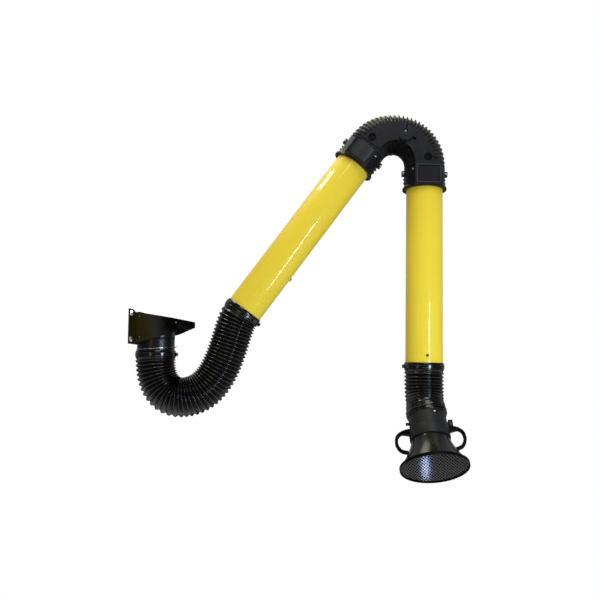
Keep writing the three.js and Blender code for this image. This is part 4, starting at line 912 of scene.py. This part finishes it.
def side_plate(y0, y1):
    band_end = ELBOW_TURN / 2 - LOBE_R / PIVOT_R / 2
    steps = 28
    angles = [band_end * k / steps for k in range(steps + 1)]
    inner = [bend_point(PLATE_IN_R, a) for a in angles]
    outer = [bend_point(PLATE_OUT_R, a) for a in angles]
    foot = ELBOW_STRAIGHT - 3
    plate = slab("plate", [(inner[0][0], foot)] + inner + outer[::-1] + [(outer[0][0], foot)], y0, y1)
    plate = combine(plate, pin("lobe", LOBE_R, *ELBOW_PIVOT, y0, y1, 80), "UNION")
    return combine(plate, notch(y0 - 1, y1 + 1), "DIFFERENCE")


def elbow_half(name, near, far, inner):
    """One moulded half, on the -Y side of its frame."""
    rim = COLLAR_OUT + 4.5
    outline = [(0.01, 0), (rim, 0), (rim, 5), (COLLAR_OUT, 10), (COLLAR_OUT, COLLAR_LENGTH), (0.01, COLLAR_LENGTH)]
    body = lathe(name, outline, 96)
    body = combine(body, box("pad", -35, 35, -far, 0, 2.5, ELBOW_STRAIGHT), "UNION")
    edge = COLLAR_OUT + 7
    body = combine(body, box("lugs", -edge, edge, -8, 0, 39.5, 52.5), "UNION")
    for z in (18.0, 28.5):
        body = combine(body, box("rib", -COLLAR_OUT - 2.4, COLLAR_OUT + 2.4, -5, 0, z, z + 3), "UNION")
    room = [(0.01, -1), (50.4, -1), (50.4, 10), (COLLAR_IN, 10), (COLLAR_IN, COLLAR_LENGTH - 0.4), (58.0, COLLAR_LENGTH - 0.4), (58.0, 124), (0.01, 124)]
    body = combine(body, lathe("room", room, 96), "DIFFERENCE")
    body = combine(body, box("half", -120, 120, -far - 1, -0.2, -1, 124), "INTERSECT")
    body = combine(body, side_plate(-far, -near), "UNION")
    body = combine(body, box("window", -30, 30, -far - 1, -far + (8 if inner else 3), 9, 55), "DIFFERENCE")
    body = combine(body, pin("bolt_hole", 3.4, *ELBOW_PIVOT, -80, -40, 40), "DIFFERENCE")
    if inner:
        body = combine(body, box("groove", -36, 36, -far - 1, -far + 2.2, 59, 63.5), "DIFFERENCE")
        hub = combine(pin("hub", LOBE_R - 1.5, *ELBOW_PIVOT, -far - 0.9, -far + 1, 80), notch(-far - 3, -far + 3), "DIFFERENCE")
        body = combine(body, hub, "UNION")
        body = combine(body, pin("head_room", 6.4, *ELBOW_PIVOT, -80, -(far - 2.6), 48), "DIFFERENCE")
    else:
        body = combine(body, pin("sight_hole", 5.0, *bend_point(76, rad(49.5)), -80, -40, 40), "DIFFERENCE")
    body = combine(body, pin("plug_room", 10.9, *PLUG, -far - 1, -far + 3, 48), "DIFFERENCE")
    for x in (-CLIP_X, CLIP_X):
        body = combine(body, pin("screw_hole", 2.4, x, 46, -9, 9, 24), "DIFFERENCE")
    face_outwards(body)
    return body


def window_frame(name, far):
    """The thin raised lip round a half's window, on the -Y side."""
    made = box(name, -32.2, 32.2, -far - 0.9, -far + 0.2, 6.8, 57.2)
    return combine(made, box("opening", -30, 30, -far - 2, -far + 2, 9, 55), "DIFFERENCE")


def bulged_panel(name, far):
    """The crowned panel in the inner half's window, lower towards the tube, on the -Y side."""
    half, back, crown, fall = 29.7, -far + 7.98, 5.3, 4.5
    across = np.linspace(-half, half, 25)
    points = []
    for z, middle in ((9.3, -far + 2.0), (54.7, -far + 2.0 - fall)):
        points += [(x, middle + crown * (x / half) ** 2, z) for x in across] + [(half, back, z), (-half, back, z)]
    count = len(across) + 2
    faces = [(k, (k + 1) % count, count + (k + 1) % count, count + k) for k in range(count)]
    faces += [tuple(reversed(range(count))), tuple(range(count, 2 * count))]
    made = raw_object(name, points, faces)
    face_outwards(made)
    return made


def mirrored(obj, name):
    """The same mesh on the other side of the arm's plane."""
    points = [(v.co.x, -v.co.y, v.co.z) for v in obj.data.vertices]
    faces = [tuple(reversed(p.vertices)) for p in obj.data.polygons]
    return raw_object(name, points, faces)


def slotted_plug(name, far, turn):
    """A round plug with a through slot, head towards -Y. turn is the slot's angle in its frame."""
    seat = far - 3.0 + GAP
    outline = [(0.01, 0), (10.5, 0), (10.5, 1.7), (10.0, 2.2), (0.01, 2.2)]
    made = lathe(name, outline, 64)
    slot = rounded([(-8, -2), (8, -2), (8, 2), (-8, 2)], 1.8)
    cutter = slab("slot", slot, -9, 9)
    cutter.data.transform(Matrix.Rotation(rad(90), 4, "X"))
    cutter.data.transform(Matrix.Rotation(rad(turn), 4, "Z"))
    made = combine(made, cutter, "DIFFERENCE")
    upright = Matrix.Translation((PLUG[0], -seat, PLUG[1])) @ Matrix.Rotation(rad(90), 4, "X")
    made.data.transform(upright)
    face_outwards(made)
    return made


for part, place, (near, far), body, turn_front in (
    ("inner", inner_elbow, INNER_Y, "inner_arm", 1),
    ("outer", outer_elbow, OUTER_Y, "outer_arm", -1),
):
    base = elbow_half(f"elbow_shell_{part}_a", near, far, part == "inner")
    other = mirrored(base, f"elbow_shell_{part}_b")
    front, rear = (base, other) if turn_front == 1 else (other, base)
    for obj, where in ((front, "front"), (rear, "rear")):
        obj.name = f"elbow_shell_{part}_{where}_fine"
        settle(obj, place, ELBOW, body, (f"elbow_shell_{part}_{where}",), 0.7, 2, 30)
    base = window_frame(f"elbow_window_{part}_a", far)
    other = mirrored(base, f"elbow_window_{part}_b")
    front, rear = (base, other) if turn_front == 1 else (other, base)
    for obj, where in ((front, "front"), (rear, "rear")):
        obj.name = f"elbow_window_{part}_{where}"
        # The outer halves' window lips take the lighter plastic, a painted highlight.
        settle(obj, place, ELBOW if part == "inner" else LIP_HIGHLIGHT, body, (), 0.3, 2, 30)
        side = -1 if obj == base else 1
        flank = Vector((38, side * 41, 0))
        screw = domed_screw(f"elbow_flank_screw_{part}_{where}", 3.4, 2.4, 1.8, 3.0)
        spot = Matrix.Translation(flank.normalized() * (COLLAR_OUT - 0.1) + Vector((0, 0, 50))) @ along(flank)
        settle(screw, place @ spot, ZINC, body)
    if part == "inner":
        base = bulged_panel("elbow_panel_a", far)
        for obj, where in ((base, "front"), (mirrored(base, "elbow_panel_b"), "rear")):
            obj.name = f"elbow_panel_{where}"
            settle(obj, place, PANEL, body, (), 0.5, 2, 40)
    base = slotted_plug(f"elbow_plug_{part}_a", far, 67 if part == "inner" else 0)
    other = mirrored(base, f"elbow_plug_{part}_b")
    front, rear = (base, other) if turn_front == 1 else (other, base)
    for obj, where in ((front, "front"), (rear, "rear")):
        obj.name = f"elbow_plug_{part}_{where}_fine"
        settle(obj, place, PLUG_BLACK, body, (f"elbow_plug_{part}_{where}",), 0.25, 2, 30)
    for i, x in enumerate((-CLIP_X, CLIP_X)):
        clip = domed_screw(f"elbow_clip_screw_{part}_{i + 1}_fine", 3.75, 2.6, 1.95, 16.4)
        y = -turn_front * (8 + GAP)
        spot = Matrix.Translation((x, y, 46)) @ along((0, -turn_front, 0))
        settle(clip, place @ spot, ZINC, body, (f"elbow_clip_screw_{part}_{i + 1}",))

for side, where in ((1, "front"), (-1, "rear")):
    seat = INNER_Y[1] - 3 + 2 * GAP
    bolt = domed_screw(f"elbow_pivot_bolt_{where}_fine", 3.8, 2.4, 2.4, seat - OUTER_Y[0])
    spot = Matrix.Translation((ELBOW_PIVOT[0], side * seat, ELBOW_PIVOT[1])) @ along((0, side, 0))
    settle(bolt, outer_elbow @ spot, STEEL, "outer_arm", (f"elbow_pivot_bolt_{where}",))

# Hood
FLARE_AT, MOUTH_AT, MOUTH_R, WALL = 128.0, 201.4, 85.4, 2.5


def flare_radius(at):
    return NECK_R + (MOUTH_R - NECK_R) * max((at - FLARE_AT) / (MOUTH_AT - FLARE_AT), 0.0) ** 1.35


def bell_wall(name, ats):
    """A length of the hood's wall, turned from its radius at each distance below the pivot."""
    outside = [(flare_radius(at), -at) for at in ats]
    return lathe(name, outside + [(r - WALL, z) for r, z in reversed(outside)], 160)


UNDER_RING = 112.0
neck = bell_wall("hood_neck_fine", [30.0, 31.0, 60.0, 90.0, UNDER_RING])
settle(neck, hood_frame, HANDLE, "hood", ("hood_bell",), 0.5, 2, 40)
flare = bell_wall("hood_flare_fine", [UNDER_RING] + list(np.linspace(FLARE_AT - 6, MOUTH_AT, 30)))
settle(flare, hood_frame, HOOD, "hood", (), 0, 2, 40)
neck_spot = Matrix.Rotation(rad(-76), 4, "Z") @ Matrix.Translation((NECK_R - 0.1, 0, -68)) @ along((1, 0, 0))
settle(domed_screw("hood_neck_screw", 3.2, 2.2, 1.8, 4.0), hood_frame @ neck_spot, ZINC, "hood")


def handle_ring():
    inner, outer = NECK_R + GAP, NECK_R + GAP + 3.2
    band = lathe("handle_band", rounded([(inner, -127), (outer, -127), (outer, -97), (inner, -97)], 1.0), 128)
    loops = []
    reach = 87.0
    foot_r = flare_radius(156.0) + 3 + 0.8
    key = [(50.5, 101), (62, 100.5), (reach * 0.86, 103), (reach * 0.97, 113), (reach, 128.5), (reach * 0.965, 141), (reach * 0.88, 151), (foot_r + 2, 156), (foot_r - 3.4, 156.5)]
    for side in (1, -1):
        knots = [Vector((side * x, 0, -at)) for x, at in key]
        line = []
        for i in range(len(knots) - 1):
            a, b, c, d = (knots[min(max(i + k, 0), len(knots) - 1)] for k in (-1, 0, 1, 2))
            for k in range(8):
                t = k / 8
                line.append(0.5 * ((2 * b) + (c - a) * t + (2 * a - 5 * b + 4 * c - d) * t**2 + (3 * b - a - 3 * c + d) * t**3))
        line.append(knots[-1])
        widths = []
        for i in range(len(line)):
            share = i / (len(line) - 1)
            root = 1 - float(smooth(share / 0.28))
            widths.append((12.5 + 14.0 * root, 8.4 + 6.6 * root))
        loop = sweep("loop", line, widths, Y_SIDE)
        loop.data.transform(Matrix.Rotation(rad(-8), 4, "Z"))
        loops.append(loop)
    return band, join("handle_loops_fine", loops)


band, loops = handle_ring()
settle(band, hood_frame, HANDLE, "hood", ("handle_ring",), 0, 2, 40)
settle(loops, hood_frame, PLUG_BLACK, "hood", (), 0, 2, 40)


def woven_net():
    """Flat strands welded crosswise in diamonds."""
    pitch, wide, thick, radius = 7.3, 0.8, 0.3, MOUTH_R - 0.4
    points, faces = [], []
    count = int(radius / pitch)
    section = [(1, -1), (1, 1), (-1, 1), (-1, -1)]
    ring = len(section)
    level = -(MOUTH_AT + GAP + 0.8)
    for family in (0, 1):
        turn = rad(54.5 + 49.5 * family)
        axis = Vector((math.cos(turn), math.sin(turn), 0))
        across = Vector((-axis.y, axis.x, 0))
        for n in range(-count, count + 1):
            offset = n * pitch
            reach = math.sqrt(radius**2 - offset**2)
            steps = 1
            for k in range(steps + 1):
                x = -reach + 2 * reach * k / steps
                centre = axis * x + across * offset + Vector((0, 0, level + (2 * family - 1) * thick))
                for u, v in section:
                    points.append(centre + across * (wide * u) + Vector((0, 0, thick * v)))
                if k:
                    base = len(points) - 2 * ring
                    for m in range(ring):
                        l = (m + 1) % ring
                        faces.append((base + m, base + l, base + ring + l, base + ring + m))
                else:
                    faces.append(tuple(len(points) - ring + m for m in reversed(range(ring))))
            faces.append(tuple(len(points) - ring + m for m in range(ring)))
    obj = raw_object("hood_mesh_fine", points, faces)
    face_outwards(obj)
    return obj


settle(woven_net(), hood_frame, NET, "hood", ("hood_mesh",), 0, 2, 30)

rim_top = -MOUTH_AT - 2 * GAP - 1.6
rim_in, rim_out = MOUTH_R - 1.6, MOUTH_R + GAP + 2
rim = lathe(
    "hood_rim_fine",
    rounded([(rim_in, rim_top), (rim_out - 2, rim_top), (rim_out - 2, rim_top + 6), (rim_out, rim_top + 6), (rim_out, rim_top - 2), (rim_in, rim_top - 2)], 0.8),
    160,
)
settle(rim, hood_frame, PLUG_BLACK, "hood", ("hood_rim",))

keep_node("damper_plate", STEEL, 0.4)
keep_node("damper_knob", HANDLE, 1.6, 4)

# Light and ground: a white room behind the object, a dark one behind the camera
world = bpy.data.worlds.new("studio")
scene.world = world
world.use_nodes = True
tree = world.node_tree
tree.nodes.clear()
light_path = tree.nodes.new("ShaderNodeLightPath")
mirrored_ray = tree.nodes.new("ShaderNodeMath")
mirrored_ray.operation = "MAXIMUM"
tree.links.new(light_path.outputs["Is Glossy Ray"], mirrored_ray.inputs[0])
tree.links.new(light_path.outputs["Is Transmission Ray"], mirrored_ray.inputs[1])
direction = tree.nodes.new("ShaderNodeTexCoord")
parts = tree.nodes.new("ShaderNodeSeparateXYZ")
tree.links.new(direction.outputs["Generated"], parts.inputs["Vector"])
room = tree.nodes.new("ShaderNodeMapRange")
room.inputs["From Min"].default_value = -0.1
room.inputs["From Max"].default_value = 0.6
room.inputs["To Min"].default_value = 0.06
room.inputs["To Max"].default_value = 0.42
tree.links.new(parts.outputs["Y"], room.inputs["Value"])
below = tree.nodes.new("ShaderNodeMapRange")
below.inputs["From Min"].default_value = -0.3
below.inputs["From Max"].default_value = 0.12
below.inputs["To Min"].default_value = 0.12
tree.links.new(parts.outputs["Z"], below.inputs["Value"])
dimmed = tree.nodes.new("ShaderNodeMath")
dimmed.operation = "MULTIPLY"
tree.links.new(room.outputs["Result"], dimmed.inputs[0])
tree.links.new(below.outputs["Result"], dimmed.inputs[1])
lit = tree.nodes.new("ShaderNodeMix")
lit.inputs["A"].default_value = 0.4
tree.links.new(mirrored_ray.outputs["Value"], lit.inputs["Factor"])
tree.links.new(dimmed.outputs["Value"], lit.inputs["B"])
shown = tree.nodes.new("ShaderNodeMix")
shown.inputs["B"].default_value = 1.0
tree.links.new(light_path.outputs["Is Camera Ray"], shown.inputs["Factor"])
tree.links.new(lit.outputs["Result"], shown.inputs["A"])
sky = tree.nodes.new("ShaderNodeBackground")
sky.inputs["Color"].default_value = (1, 1, 1, 1)
tree.links.new(shown.outputs["Result"], sky.inputs["Strength"])
output = tree.nodes.new("ShaderNodeOutputWorld")
tree.links.new(sky.outputs["Background"], output.inputs["Surface"])


def lamp(name, place, target, width, height, power, colour=(1, 1, 1), roll=0):
    data = bpy.data.lights.new(name, "AREA")
    data.shape = "RECTANGLE"
    data.size = width
    data.size_y = height
    data.energy = power
    data.color = colour
    obj = bpy.data.objects.new(name, data)
    obj.location = place
    aim = (Vector(target) - Vector(place)).to_track_quat("-Z", "Y").to_matrix()
    obj.rotation_euler = (aim @ Matrix.Rotation(rad(roll), 3, "Z")).to_euler()
    obj.visible_camera = False
    scene.collection.objects.link(obj)


lamp("cool_strip", (1.18, -1.04, -0.235), (0.40, 0, 0.0), 0.16, 0.67, 9.5, (0.66, 0.77, 1.0))
lamp("warm_strip", (-0.28, -1.04, -0.10), (0.50, 0, 0.0), 0.10, 0.50, 0.5, (1.0, 0.82, 0.50))
lamp("flash", (-0.29, -0.1, 1.56), (0.53, -0.04, 0.42), 0.7, 0.16, 9, (1.0, 0.97, 0.90))
lamp("top", (0.3, 0.3, 2.4), (0.5, 0, 0.3), 3.0, 3.0, 20)
lamp("key", (1.0, -1.9, 2.0), (0.5, 0, 0.1), 1.2, 1.2, 22)
lamp("low_strip", (0.963, 0.439, -1.2), (0.762, -0.116, -0.355), 0.028, 0.078, 0.118, (0.50, 0.60, 1.0), -20.6)
lamp("back", (0.4, 1.6, 2.2), (0.5, 0, 0.1), 1.2, 1.2, 15, (1.0, 0.93, 0.72))

FLOOR = -1.3
floor = raw_object("floor", [(-5, -5, FLOOR), (6, -5, FLOOR), (6, 1.6, FLOOR), (-5, 1.6, FLOOR)], [(0, 1, 2, 3)])
ground = bpy.data.materials.new("pale_floor")
ground.use_nodes = True
tree = ground.node_tree
shader = tree.nodes["Principled BSDF"]
shader.inputs["Base Color"].default_value = (0.8, 0.8, 0.8, 1)
shader.inputs["Roughness"].default_value = 0.8
light_path = tree.nodes.new("ShaderNodeLightPath")
glow = tree.nodes.new("ShaderNodeEmission")
glow.inputs["Color"].default_value = (1, 1, 1, 1)
glow.inputs["Strength"].default_value = 1.0
straight_on = tree.nodes.new("ShaderNodeMath")
straight_on.operation = "MULTIPLY"
straight_on.inputs[1].default_value = 0.85
tree.links.new(light_path.outputs["Is Camera Ray"], straight_on.inputs[0])
in_gloss = tree.nodes.new("ShaderNodeMath")
in_gloss.operation = "MULTIPLY"
in_gloss.inputs[1].default_value = 0.16
tree.links.new(light_path.outputs["Is Glossy Ray"], in_gloss.inputs[0])
part = tree.nodes.new("ShaderNodeMath")
part.operation = "MAXIMUM"
tree.links.new(straight_on.outputs["Value"], part.inputs[0])
tree.links.new(in_gloss.outputs["Value"], part.inputs[1])
mix = tree.nodes.new("ShaderNodeMixShader")
tree.links.new(part.outputs["Value"], mix.inputs["Fac"])
tree.links.new(shader.outputs["BSDF"], mix.inputs[1])
tree.links.new(glow.outputs["Emission"], mix.inputs[2])
tree.links.new(mix.outputs["Shader"], tree.nodes["Material Output"].inputs["Surface"])
floor.data.materials.append(ground)
